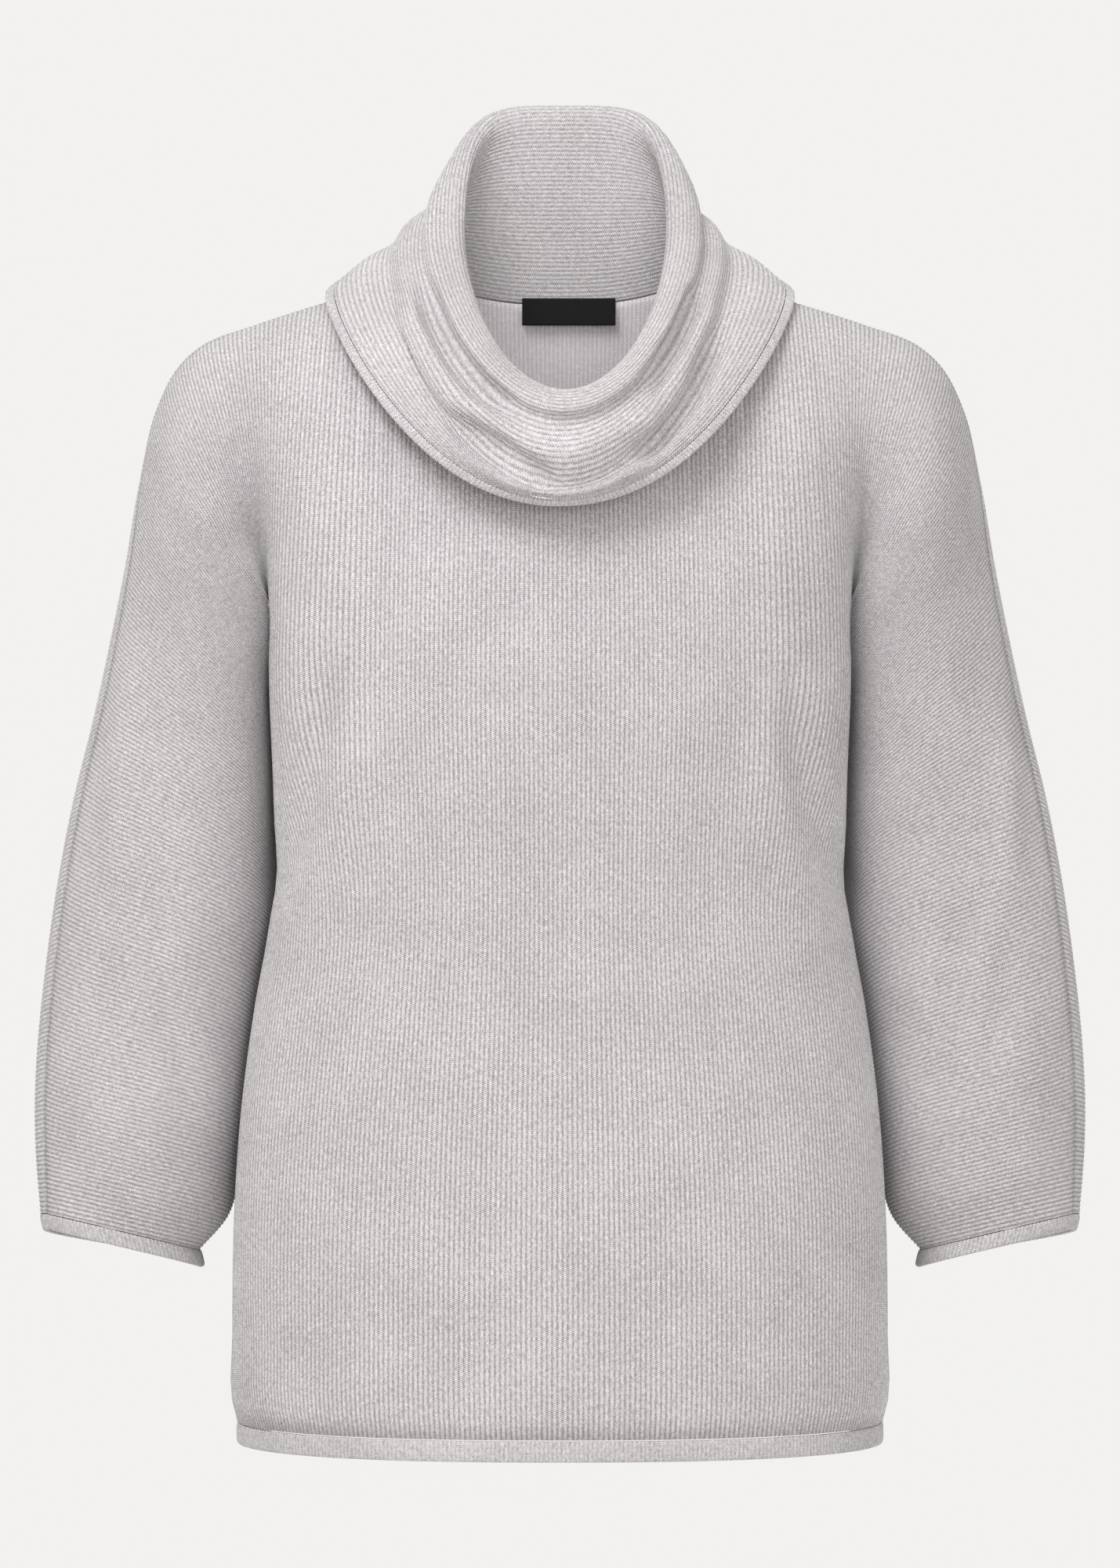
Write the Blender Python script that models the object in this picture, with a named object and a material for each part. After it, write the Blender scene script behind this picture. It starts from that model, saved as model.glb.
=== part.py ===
"""Cowl neck sweater in rib knit, hollow and hanging as it is worn.

Metres, +Z up, the front faces -Y. The origin is on the back neck seam's level, over the middle of the
shoulders. The front and the back are one panel each, sleeves included. Their ribs stand upright in
the flat cut, so each station of a panel is one rib, from its top edge to its bottom edge.
"""
import math

import bpy
import numpy as np
from mathutils import Vector
from mathutils.bvhtree import BVHTree

# Walls and seams
PANEL_WALL = 0.0020
COWL_WALL = 0.0026
BAND_WALL = 0.0034
LABEL_WALL = 0.0008
SEAM_BACK = 0.0002          # how far each panel's edge stands back from the seam
SEAM_GAP = 0.0004           # between a panel and a band
EDGE_GAP = 0.0008           # between the collar and its edge, which turns more sharply

# Flat cut, by the distance from the centre line
NECK_HALF = 0.100
SIDE_HALF = 0.235
CUFF_HALF = 0.685

# Levels
ARMPIT_Z = -0.208
HEM_Z = -0.6415
HEM_DEEP = 0.0115
CUFF_DEEP = 0.0095
EDGE_DEEP = 0.0055
BAND_TURN = 0.18            # share of a band's depth where its edges begin to turn
BAND_TIP = 0.45             # share of its thickness that stays flat at the edges

SHARP_ANGLE = math.radians(50)

# Section counts
NECK_STEPS = 8              # a quarter of the neckline
SHOULDER_STEPS = 6
SLEEVE_STEPS = 14
YOKE_STEPS = 10             # top edge to armpit level
SKIRT_STEPS = 11            # armpit level to hem
RING_SAMPLES = 240

# Body rings: level, half width, front depth, back depth, tuck of the side seam
BODY_COLUMNS = ("z", "half", "front", "back", "tuck")
BODY = (
    (-0.167, 0.170, 0.117, 0.096, 0.017),
    (-0.220, 0.169, 0.124, 0.095, 0.018),
    (-0.285, 0.167, 0.120, 0.089, 0.018),
    (-0.344, 0.169, 0.114, 0.087, 0.018),
    (-0.400, 0.179, 0.114, 0.094, 0.019),
    (-0.450, 0.185, 0.120, 0.104, 0.018),
    (-0.510, 0.188, 0.127, 0.112, 0.014),
    (-0.580, 0.187, 0.131, 0.115, 0.006),
    (-0.620, 0.1850, 0.131, 0.115, 0.002),
    (-0.6415, 0.1770, 0.131, 0.114, 0.000),
)
ROUNDNESS = 2.35            # superellipse power of the body rings
SIDE_SLIP = 0.13            # how far the ribs crowd towards the side at the armpits
SLIP_LEVELS = (-0.350, -0.215)
SLIP_FROM = 0.40            # the ribs nearer the centre than this share stay put
SIDE_Y = 0.010              # the side and underarm seams lie this far back
TUCK_WIDE = 0.030

# Overarm seam from the neck point to the cuff: flat distance, X, Y, Z
OVERARM_COLUMNS = ("flat", "x", "y", "z")
OVERARM = (
    (0.1000, 0.1000, 0.000, 0.0080),
    (0.1300, 0.1300, 0.000, -0.0010),
    (0.1675, 0.1695, 0.001, -0.0136),
    (0.2007, 0.2020, 0.002, -0.0262),
    (0.2185, 0.2145, 0.002, -0.0375),
    (0.2465, 0.2275, 0.002, -0.0628),
    (0.2834, 0.2355, 0.000, -0.0999),
    (0.3270, 0.2418, -0.002, -0.1448),
    (0.4106, 0.2578, -0.004, -0.2300),
    (0.4565, 0.2688, -0.005, -0.2772),
    (0.5376, 0.2825, -0.006, -0.3608),
    (0.6225, 0.2898, -0.006, -0.4488),
    (0.6850, 0.2887, -0.004, -0.5135),
)

# Underarm seam and the sleeve's bows: flat distance, level, distance from the body, bows, lean
UNDERARM_COLUMNS = ("flat", "z", "off", "front", "back", "lean")
UNDERARM = (
    (0.2350, -0.208, 0.000, 0.060, 0.058, 0.004),
    (0.2834, -0.232, 0.009, 0.056, 0.056, 0.014),
    (0.3270, -0.258, 0.010, 0.052, 0.053, 0.024),
    (0.4106, -0.310, 0.009, 0.047, 0.048, 0.032),
    (0.4565, -0.342, 0.008, 0.045, 0.046, 0.034),
    (0.5376, -0.412, 0.008, 0.042, 0.043, 0.036),
    (0.6225, -0.486, 0.008, 0.040, 0.041, 0.036),
    (0.6600, -0.517, 0.012, 0.035, 0.036, 0.032),
    (0.6850, -0.535, 0.0255, 0.028, 0.029, 0.024),
)
RIB_RISE = 0.050            # how straight a body rib runs up from the armpit level
NECK_DROP = 0.030           # how straight it runs down from the neckline
NECK_PUSH = 0.011
SHOULDER_DROP = 0.016
NECK_SOFT = 0.040
ARMPIT_SOFT = 0.035
CUFF_LEVEL = 0.60           # how much the ribs level out at the cuff
CUFF_FADE = (0.600, 0.685)
SLEEVE_FADE = (0.170, 0.275)
SHOULDER_FADE = (0.050, 0.150)
SHOULDER_END = (0.160, 0.225)
ARMPIT_FROM = (0.150, 0.215)
ARMPIT_TO = (0.300, 0.400)
SOFT_STEPS = 9
BOW_REACH = 0.75            # share of a handle's length that the rib bows out by
TOP_FADE = (0.0, 0.35)
END_FADE = (0.45, 1.0)

# Loops of the collar from the neck seam, over the lip, to the free edge
COWL_COLUMNS = ("half", "front_y", "back_y", "front_z", "side_z", "back_z", "square")
COWL = (
    (0.0992, -0.0945, 0.0542, -0.0845, 0.0086, 0.0006, 0.78),
    (0.0970, -0.0950, 0.0538, -0.0795, 0.0120, 0.0060, 0.77),
    (0.0840, -0.0990, 0.0515, -0.0740, 0.0190, 0.0300, 0.68),
    (0.0680, -0.1050, 0.0480, -0.0690, 0.0270, 0.0760, 0.57),
    (0.0570, -0.1120, 0.0460, -0.0630, 0.0370, 0.1040, 0.48),
    (0.0600, -0.1190, 0.0500, -0.0580, 0.0450, 0.1125, 0.44),
    (0.0680, -0.1280, 0.0570, -0.0610, 0.0450, 0.1070, 0.46),
    (0.0765, -0.1350, 0.0620, -0.0690, 0.0400, 0.0820, 0.55),
    (0.0795, -0.1310, 0.0640, -0.0765, 0.0315, 0.0620, 0.64),
    (0.0900, -0.1400, 0.0720, -0.0930, 0.0280, 0.0400, 0.70),
    (0.0970, -0.1330, 0.0740, -0.1110, 0.0195, 0.0180, 0.75),
    (0.1115, -0.1370, 0.0810, -0.1160, 0.0150, -0.0040, 0.78),
    (0.1265, -0.1330, 0.0840, -0.1190, 0.0050, -0.0270, 0.78),
)
COWL_SQUARE = 0.78          # under 1 squares the neckline at the back
COWL_SHIFT = 0.003          # the opening lies a little to the right
COWL_REST = 0.0050          # the outer layer's face stays this far off the front and back
COWL_OUTER_ROW = 6          # the first loop of the outer layer
COWL_NEAR = 0.030
COWL_FACING = 0.7           # only a point that lies over a panel is lifted off it
COWL_SHIFT_ROWS = (1.0, 4.0, 6.0, 9.0)

# Neckline of the panels, in the collar's columns
NECKLINE = (NECK_HALF, -0.0950, 0.0550, -0.0850, 0.0080, 0.0000, COWL_SQUARE)

# Soft folds: panel, start X and Z, end X and Z, sideways bow, half width, depth (below 0 is a trough)
FOLD_COLUMNS = ("panel", "x0", "z0", "x1", "z1", "bow", "wide", "deep")
FOLDS = (
    ("front", -0.164, -0.352, -0.128, -0.190, 0.008, 0.010, -0.0050),
    ("front", -0.146, -0.380, -0.108, -0.235, 0.006, 0.015, 0.0035),
    ("front", 0.164, -0.354, 0.126, -0.200, -0.008, 0.010, -0.0050),
    ("front", 0.146, -0.382, 0.110, -0.230, -0.006, 0.015, 0.0035),
    ("front", -0.190, -0.118, -0.172, -0.205, 0.004, 0.016, -0.0030),
    ("front", 0.190, -0.121, 0.172, -0.208, -0.004, 0.016, -0.0030),
    ("front", -0.243, -0.130, -0.246, -0.370, 0.003, 0.008, 0.0045),
    ("front", 0.245, -0.140, 0.249, -0.360, -0.003, 0.008, 0.0045),
    ("front", -0.226, -0.330, -0.200, -0.480, 0.003, 0.010, -0.0045),
    ("front", -0.250, -0.350, -0.226, -0.455, 0.004, 0.010, -0.0030),
    ("front", 0.226, -0.325, 0.202, -0.470, -0.003, 0.010, -0.0045),
    ("front", 0.250, -0.345, 0.230, -0.450, -0.004, 0.010, -0.0030),
    ("back", -0.165, -0.330, -0.120, -0.190, 0.008, 0.014, -0.0070),
    ("back", 0.165, -0.340, 0.124, -0.200, -0.008, 0.014, -0.0065),
    ("back", -0.190, -0.110, -0.174, -0.205, 0.004, 0.018, -0.0035),
    ("back", 0.190, -0.114, 0.174, -0.200, -0.004, 0.018, -0.0035),
    ("back", -0.060, -0.300, -0.095, -0.400, 0.004, 0.016, -0.0045),
    ("back", 0.070, -0.290, 0.090, -0.410, -0.004, 0.016, -0.0045),
    ("back", -0.230, -0.300, -0.205, -0.460, 0.003, 0.011, -0.0040),
    ("back", 0.232, -0.290, 0.206, -0.450, -0.003, 0.011, -0.0040),
)
FOLD_HOLD = 0.16            # folds fade out over this share of a rib at each seam
FOLD_TAPER = 0.3            # and over this share of their own length
FOLD_SIDE = (0.85, 1.0)     # and over this share of the body's width at the side seam
FOLD_HEM = 0.03

# Label inside the back neck
LABEL_X = 0.005
LABEL_WIDE = 0.053
LABEL_TOP = 0.0035
LABEL_LOW = -0.0120
LABEL_CLEAR = 0.0004
LABEL_POINTS = 7

# Colour, roughness, metallic
FINISHES = {
    "rib_knit": ((0.600, 0.585, 0.560), 0.90, 0.0),
    "collar_knit": ((0.610, 0.595, 0.570), 0.90, 0.0),
    "band_knit": ((0.560, 0.545, 0.520), 0.88, 0.0),
    "label_black": ((0.012, 0.012, 0.013), 0.60, 0.0),
}


def column(table, names, name):
    return np.array([row[names.index(name)] for row in table])


def smooth(x, xs, ys):
    """Cubic curve through the points (xs, ys), read at x."""
    slope = np.gradient(ys, xs)
    k = np.clip(np.searchsorted(xs, x) - 1, 0, len(xs) - 2)
    h = xs[k + 1] - xs[k]
    t = np.clip((x - xs[k]) / h, 0.0, 1.0)
    a = (1 + 2 * t) * (1 - t) ** 2 * ys[k] + t * (1 - t) ** 2 * h * slope[k]
    b = t * t * (3 - 2 * t) * ys[k + 1] - t * t * (1 - t) * h * slope[k + 1]
    return a + b


def ease(low, high, x):
    t = np.clip((np.asarray(x, dtype=float) - low) / (high - low), 0.0, 1.0)
    return t * t * (3 - 2 * t)


def body_size(name, z):
    """A named size of the body at the level z."""
    levels = column(BODY, BODY_COLUMNS, "z")[::-1]
    return smooth(z, levels, column(BODY, BODY_COLUMNS, name)[::-1])


def seam_size(table, names, name, flat):
    return smooth(flat, column(table, names, "flat"), column(table, names, name))


def body_side(z):
    """How far out the side seam lies at the level z."""
    return body_size("half", z) - body_size("tuck", z)


def body_ring(share, z, panel):
    """Points of a quarter ring at one level, share 0 at the centre and 1 at the side seam."""
    angle = np.linspace(0.0, math.pi / 2, RING_SAMPLES)
    power = 2 / ROUNDNESS
    depth = body_size("front", z) + SIDE_Y if panel == "front" else body_size("back", z) - SIDE_Y
    turn = -1 if panel == "front" else 1
    y = SIDE_Y + turn * depth * np.cos(angle).clip(0) ** power
    x = body_size("half", z) * np.sin(angle) ** power
    x = x - body_size("tuck", z) * np.exp(-((y - SIDE_Y) / TUCK_WIDE) ** 2)
    run = np.concatenate(([0.0], np.cumsum(np.hypot(np.diff(x), np.diff(y)))))
    run = run / run[-1]
    slip = SIDE_SLIP * ease(*SLIP_LEVELS, z)
    past = np.clip((share - SLIP_FROM) / (1 - SLIP_FROM), 0.0, 1.0)
    share = share + slip * np.sin(math.pi * past) ** 2
    out_x = np.interp(share, run, x)
    out_y = np.interp(share, run, y)
    return np.stack([out_x, out_y, np.full_like(out_x, z)], axis=-1)


def loop_point(row, angle):
    """A point of a neck loop: angle 0 at the front, a half turn at the back."""
    size = dict(zip(COWL_COLUMNS, row))
    along = math.cos(angle)
    across = math.sin(angle)
    power = 1.0 if along > 0 else size["square"]
    x = size["half"] * math.copysign(abs(across) ** power, across)
    y = along * size["front_y"] if along > 0 else -along * size["back_y"]
    mean = (size["front_z"] + size["back_z"]) / 2
    z = (mean + size["side_z"]) / 2 + along * (size["front_z"] - size["back_z"]) / 2
    z = z + math.cos(2 * angle) * (mean - size["side_z"]) / 2
    return np.array([x, y, z])


def top_point(flat, panel):
    """Top end of a rib, on the neckline or on the overarm seam."""
    if flat < NECK_HALF - 1e-9:
        angle = math.asin(flat / NECK_HALF)
        if panel == "back":
            angle = math.pi - math.asin((flat / NECK_HALF) ** (1 / COWL_SQUARE))
        return loop_point(NECKLINE, angle)
    return np.array([seam_size(OVERARM, OVERARM_COLUMNS, name, flat) for name in ("x", "y", "z")])


def soft_top(flat, panel):
    """Top end averaged over its neighbours, so that the corner at the neck fades down the rib."""
    spread = NECK_SOFT * float(1 - ease(*SHOULDER_END, flat))
    places = []
    for step in np.linspace(-spread, spread, SOFT_STEPS):
        place = top_point(abs(flat + step), panel)
        places.append(place * (-1.0 if flat + step < 0 else 1.0, 1.0, 1.0))
    return np.mean(places, axis=0)


def end_point(flat, panel):
    """Lower end of a rib's upper part: at the armpit level, or on the underarm seam."""
    if flat <= SIDE_HALF:
        return body_ring(np.array([flat / SIDE_HALF]), ARMPIT_Z, panel)[0]
    z = seam_size(UNDERARM, UNDERARM_COLUMNS, "z", flat)
    off = seam_size(UNDERARM, UNDERARM_COLUMNS, "off", flat)
    return np.array([body_side(z) + off, SIDE_Y, z])


def soft_end(flat, panel):
    """Lower end averaged over its neighbours, so that the armpit's corner fades up the rib."""
    spread = ARMPIT_SOFT * float(ease(*ARMPIT_FROM, flat) * (1 - ease(*ARMPIT_TO, flat)))
    steps = np.linspace(-spread, spread, SOFT_STEPS)
    return np.mean([end_point(flat + step, panel) for step in steps], axis=0)


def upper_rib(flat, share, panel):
    """Points of a rib from its top, share 0, to its lower end, share 1, for the right half."""
    turn = -1 if panel == "front" else 1
    bow = seam_size(UNDERARM, UNDERARM_COLUMNS, panel, max(flat, SIDE_HALF)) / BOW_REACH
    lean = seam_size(UNDERARM, UNDERARM_COLUMNS, "lean", max(flat, SIDE_HALF))
    sleeve = float(ease(*SLEEVE_FADE, flat))
    shoulder = float(ease(*SHOULDER_FADE, flat))
    neck_handle = np.array([0.0, turn * NECK_PUSH, -NECK_DROP])
    fall = (top_point(flat, panel)[2] - end_point(flat, panel)[2]) / 3 * sleeve
    fall = fall * float(1 - CUFF_LEVEL * ease(*CUFF_FADE, flat))
    drop = SHOULDER_DROP * (1 - sleeve) + fall
    seam_handle = np.array([turn * lean * sleeve, turn * bow, -drop])
    top_handle = (1 - shoulder) * neck_handle + shoulder * seam_handle
    end_handle = np.array([0.0, sleeve * turn * bow, (1 - sleeve) * RIB_RISE + fall])
    t = share[:, None]
    loose = ease(*END_FADE, t)
    end = (1 - loose) * soft_end(flat, panel) + loose * end_point(flat, panel)
    soft = ease(*TOP_FADE, t)
    top = (1 - soft) * top_point(flat, panel) + soft * soft_top(flat, panel)
    points = (1 - t) ** 3 * top + 3 * t * (1 - t) ** 2 * (top + top_handle)
    return points + 3 * t * t * (1 - t) * (end + end_handle) + t ** 3 * end


def stations():
    """Flat distances of the ribs that the net follows, for the right half."""
    neck = [NECK_HALF * math.sin(math.pi / 2 * i / NECK_STEPS) for i in range(NECK_STEPS)]
    shoulder = list(np.linspace(NECK_HALF, SIDE_HALF, SHOULDER_STEPS, endpoint=False))
    sleeve = list(np.linspace(SIDE_HALF, CUFF_HALF, SLEEVE_STEPS + 1))
    return neck + shoulder + sleeve


def skirt_levels():
    low = HEM_Z + HEM_DEEP + SEAM_GAP
    return list(np.linspace(ARMPIT_Z, low, SKIRT_STEPS + 1))[1:]


def fold_height(panel, x, z):
    """Height of the folds at a place in front view."""
    height = np.zeros_like(x)
    for row in FOLDS:
        fold = dict(zip(FOLD_COLUMNS, row))
        if fold["panel"] != panel:
            continue
        run = np.array([fold["x1"] - fold["x0"], fold["z1"] - fold["z0"]])
        length = np.hypot(*run)
        run = run / length
        away = np.stack([x - fold["x0"], z - fold["z0"]])
        along = np.clip((away[0] * run[0] + away[1] * run[1]) / length, 0.0, 1.0)
        centre = fold["bow"] * np.sin(math.pi * along)
        side = away[0] * run[1] - away[1] * run[0] - centre
        taper = ease(0.0, FOLD_TAPER, along) * ease(0.0, FOLD_TAPER, 1 - along)
        height = height + fold["deep"] * np.exp(-(side / fold["wide"]) ** 2) * taper
    return height


def panel_net(panel):
    """Outer points, four-cornered faces, and how freely each point takes a fold."""
    half = stations()
    flats = [-flat for flat in half[:0:-1]] + half
    rows = np.linspace(0.0, 1.0, YOKE_STEPS + 1)
    levels = skirt_levels()
    points = []
    free = []
    index = {}
    for i, flat in enumerate(flats):
        mirror = np.array([-1.0 if flat < 0 else 1.0, 1.0, 1.0])
        rib = upper_rib(abs(flat), rows, panel) * mirror
        seam_side = 1 - ease(*FOLD_SIDE, abs(flat) / SIDE_HALF)
        on_body = abs(flat) <= SIDE_HALF + 1e-9
        for j, point in enumerate(rib):
            index[i, j] = len(points)
            points.append(point)
            end = 1 - rows[j]
            low = max(float(ease(0.0, FOLD_HOLD, end)), float(seam_side) if on_body else 0.0)
            free.append(float(ease(0.0, FOLD_HOLD, rows[j])) * low)
        if not on_body:
            continue
        for j, level in enumerate(levels):
            index[i, YOKE_STEPS + 1 + j] = len(points)
            share = np.array([abs(flat) / SIDE_HALF])
            points.append(body_ring(share, level, panel)[0] * mirror)
            free.append(float(seam_side) * float(ease(0.0, FOLD_HEM, level - levels[-1])))
    faces = []
    for (i, j) in index:
        corners = [(i, j), (i, j + 1), (i + 1, j + 1), (i + 1, j)]
        if all(corner in index for corner in corners):
            face = [index[corner] for corner in corners]
            faces.append(face if panel == "front" else face[::-1])
    return np.array(points), faces, np.array(free), index


def face_normals(points, faces):
    corners = points[np.array(faces)]
    return np.cross(corners[:, 2] - corners[:, 0], corners[:, 3] - corners[:, 1])


def shared_normals(nets):
    """Unit normals of all nets, where points at the same place share one."""
    total = {}
    for points, faces in nets:
        for face, normal in zip(faces, face_normals(points, faces)):
            for corner in face:
                key = tuple(np.round(points[corner], 6) + 0.0)
                total[key] = total.get(key, 0.0) + normal
    result = []
    for points, faces in nets:
        normals = np.array([total[tuple(np.round(point, 6) + 0.0)] for point in points])
        result.append(normals / np.linalg.norm(normals, axis=1)[:, None])
    return result


def rim_edges(faces):
    """Directed edges that only one face has."""
    edges = {(face[k], face[(k + 1) % 4]) for face in faces for k in range(4)}
    return [edge for edge in edges if edge[::-1] not in edges]


def draw_back(points, faces, distance):
    """Move the rim points into their own panel."""
    rim = {corner for edge in rim_edges(faces) for corner in edge}
    near = {corner: set() for corner in rim}
    diagonal = {corner: set() for corner in rim}
    for face in faces:
        for k, corner in enumerate(face):
            if corner in rim:
                near[corner].update(c for c in (face[k - 1], face[(k + 1) % 4]) if c not in rim)
                diagonal[corner].add(face[(k + 2) % 4])
    moved = points.copy()
    for corner in rim:
        inner = sorted(near[corner] or diagonal[corner])
        step = points[inner].mean(axis=0) - points[corner]
        moved[corner] = points[corner] + step * distance / np.linalg.norm(step)
    return moved


def knit_material(name):
    colour, roughness, metallic = FINISHES[name]
    material = bpy.data.materials.new(name)
    material.use_nodes = True
    shader = material.node_tree.nodes["Principled BSDF"]
    shader.inputs["Base Color"].default_value = (*colour, 1.0)
    shader.inputs["Roughness"].default_value = roughness
    shader.inputs["Metallic"].default_value = metallic
    material.diffuse_color = (*colour, 1.0)
    return material


def add_object(name, points, faces, finish):
    mesh = bpy.data.meshes.new(name)
    mesh.from_pydata([tuple(point) for point in points], [], faces)
    mesh.materials.append(finish)
    mesh.shade_smooth()
    mesh.set_sharp_from_angle(angle=SHARP_ANGLE)
    mesh.update()
    item = bpy.data.objects.new(name, mesh)
    bpy.context.scene.collection.objects.link(item)
    return item


def wall(name, points, inner, faces, finish):
    """Closed solid between an outer net and its inner twin."""
    count = len(points)
    solid = [list(face) for face in faces]
    solid += [[corner + count for corner in face[::-1]] for face in faces]
    solid += [[b, a, a + count, b + count] for a, b in rim_edges(faces)]
    return add_object(name, np.vstack([points, inner]), solid, finish)


def panels():
    """Outer nets of the front and the back, with their folds and shared normals."""
    nets = {}
    for panel in ("front", "back"):
        nets[panel] = list(panel_net(panel))
    normals = shared_normals([(nets[p][0], nets[p][1]) for p in ("front", "back")])
    for panel, normal in zip(("front", "back"), normals):
        points, faces, free, index = nets[panel]
        height = fold_height(panel, points[:, 0], points[:, 2]) * free
        nets[panel][0] = points + normal * height[:, None]
    normals = shared_normals([(nets[p][0], nets[p][1]) for p in ("front", "back")])
    centre = len(stations()) - 1
    for panel, normal in zip(("front", "back"), normals):
        side = NECK_STEPS + SHOULDER_STEPS
        for i in (centre - side, centre + side):
            normal[nets[panel][3][i, YOKE_STEPS]] = (0.0, 0.0, -1.0)
        nets[panel].append(normal)
    return nets


def band(name, loop, outward, down, sizes, finish):
    """Tubular band round an edge: a closed loop of section points, a gap below the edge.

    The sizes are the wall that it continues, the gap to it and its own depth.
    """
    above, gap, deep = sizes
    reach = BAND_WALL / 2
    tip = BAND_TIP * reach
    section = (
        (-reach, BAND_TURN), (-reach, 1 - BAND_TURN), (-tip, 1.0), (tip, 1.0),
        (reach, 1 - BAND_TURN), (reach, BAND_TURN), (tip, 0.0), (-tip, 0.0),
    )
    count = len(section)
    if np.cross(loop[1] - loop[0], down[0]) @ outward[0] > 0:
        loop, outward, down = loop[::-1], outward[::-1], down[::-1]
    middle = loop - outward * above / 2
    points = []
    for place, out, fall in zip(middle, outward, down):
        for side, share in section:
            points.append(place + out * side + fall * (gap + share * deep))
    faces = []
    total = len(loop)
    for i in range(total):
        for k in range(count):
            m = (k + 1) % count
            n = (i + 1) % total
            faces.append([i * count + k, n * count + k, n * count + m, i * count + m])
    return add_object(name, np.array(points), faces, finish)


def hem_band(nets, finish):
    """Band under the lower edges of the front and the back, as one ring."""
    loop = []
    outward = []
    centre = len(stations()) - 1
    side = NECK_STEPS + SHOULDER_STEPS
    last = YOKE_STEPS + SKIRT_STEPS
    order = [("front", i) for i in range(centre - side, centre + side + 1)]
    order += [("back", i) for i in range(centre + side - 1, centre - side, -1)]
    for panel, i in order:
        points, faces, free, index, normals = nets[panel]
        loop.append(points[index[i, last]])
        flat = normals[index[i, last]] * (1.0, 1.0, 0.0)
        outward.append(flat / np.linalg.norm(flat))
    down = np.tile((0.0, 0.0, -1.0), (len(loop), 1))
    return band("hem_band", np.array(loop), np.array(outward), down, (PANEL_WALL, SEAM_GAP, HEM_DEEP), finish)


def cuff(name, nets, hand, finish):
    """Band below the end of one sleeve; hand is -1 for the left of the picture, 1 for its right."""
    count = 2 * (len(stations()) - 1)
    i = 0 if hand < 0 else count
    loop = []
    outward = []
    order = [("front", j) for j in range(YOKE_STEPS + 1)] + [("back", j) for j in range(YOKE_STEPS - 1, 0, -1)]
    for panel, j in order:
        points, faces, free, index, normals = nets[panel]
        loop.append(points[index[i, j]])
        outward.append(normals[index[i, j]])
    loop = np.array(loop)
    outward = np.array(outward)
    chord = loop[YOKE_STEPS] - loop[0]
    fall = np.array([-abs(chord[2]) * hand, 0.0, -abs(chord[0])])
    fall = fall / np.linalg.norm(fall)
    outward = outward - (outward @ fall)[:, None] * fall
    outward = outward / np.linalg.norm(outward, axis=1)[:, None]
    down = np.tile(fall, (len(loop), 1))
    return band(name, loop, outward, down, (PANEL_WALL, SEAM_GAP, CUFF_DEEP), finish)


def cowl_angles():
    """Angles round the neck, at the same places as the panels' ribs there."""
    quarter = [math.pi / 2 * i / NECK_STEPS for i in range(NECK_STEPS)]
    front = quarter
    back = [math.pi - math.asin(math.sin(a) ** (1 / COWL_SQUARE)) for a in quarter]
    half = front + [math.pi / 2] + back[:0:-1]
    return half + [math.pi] + [-a for a in half[:0:-1]]


def cowl_net():
    angles = cowl_angles()
    around = len(angles)
    points = []
    first, full, still, last = COWL_SHIFT_ROWS
    for number, row in enumerate(COWL):
        shift = COWL_SHIFT * float(ease(first, full, number)) * float(1 - ease(still, last, number))
        for angle in angles:
            points.append(loop_point(row, angle) + (shift, 0.0, 0.0))
    faces = []
    for j in range(len(COWL) - 1):
        for i in range(around):
            n = (i + 1) % around
            faces.append([j * around + i, (j + 1) * around + i, (j + 1) * around + n, j * around + n])
    return np.array(points), faces, around


def lie_over(points, trees):
    """Lift points that would sink into the front or the back."""
    lifted = []
    for point in points:
        place = Vector(point)
        for tree in trees:
            near, normal, face, distance = tree.find_nearest(place)
            height = (place - near).dot(normal)
            faces_it = abs(height) > COWL_FACING * distance
            if distance < COWL_NEAR and height < COWL_REST and faces_it:
                place = place + normal * (COWL_REST - height)
        lifted.append(tuple(place))
    return np.array(lifted)


def cowl(nets, finish, edge_finish):
    """Collar wall, with the side that shows as its net, and the tubular edge below its free side."""
    points, faces, around = cowl_net()
    trees = [BVHTree.FromPolygons([tuple(p) for p in net[0]], net[1]) for net in nets.values()]
    outer = COWL_OUTER_ROW * around
    points[outer:] = lie_over(points[outer:], trees)
    normals = shared_normals([(points, faces)])[0]
    level = normals[:around] * (1.0, 1.0, 0.0)
    normals[:around] = level / np.linalg.norm(level, axis=1)[:, None]
    edge = points[-around:]
    fall = edge - points[-2 * around:-around]
    fall = fall / np.linalg.norm(fall, axis=1)[:, None]
    reach = EDGE_GAP + EDGE_DEEP
    fall = (lie_over(edge + fall * reach, trees) - edge) / reach
    fall = fall / np.linalg.norm(fall, axis=1)[:, None]
    outward = normals[-around:]
    outward = outward - (outward * fall).sum(axis=1)[:, None] * fall
    normals[-around:] = outward / np.linalg.norm(outward, axis=1)[:, None]
    wall("cowl", points, points - normals * COWL_WALL, faces, finish)
    band("cowl_edge", edge, normals[-around:], fall, (COWL_WALL, EDGE_GAP, EDGE_DEEP), edge_finish)


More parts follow.
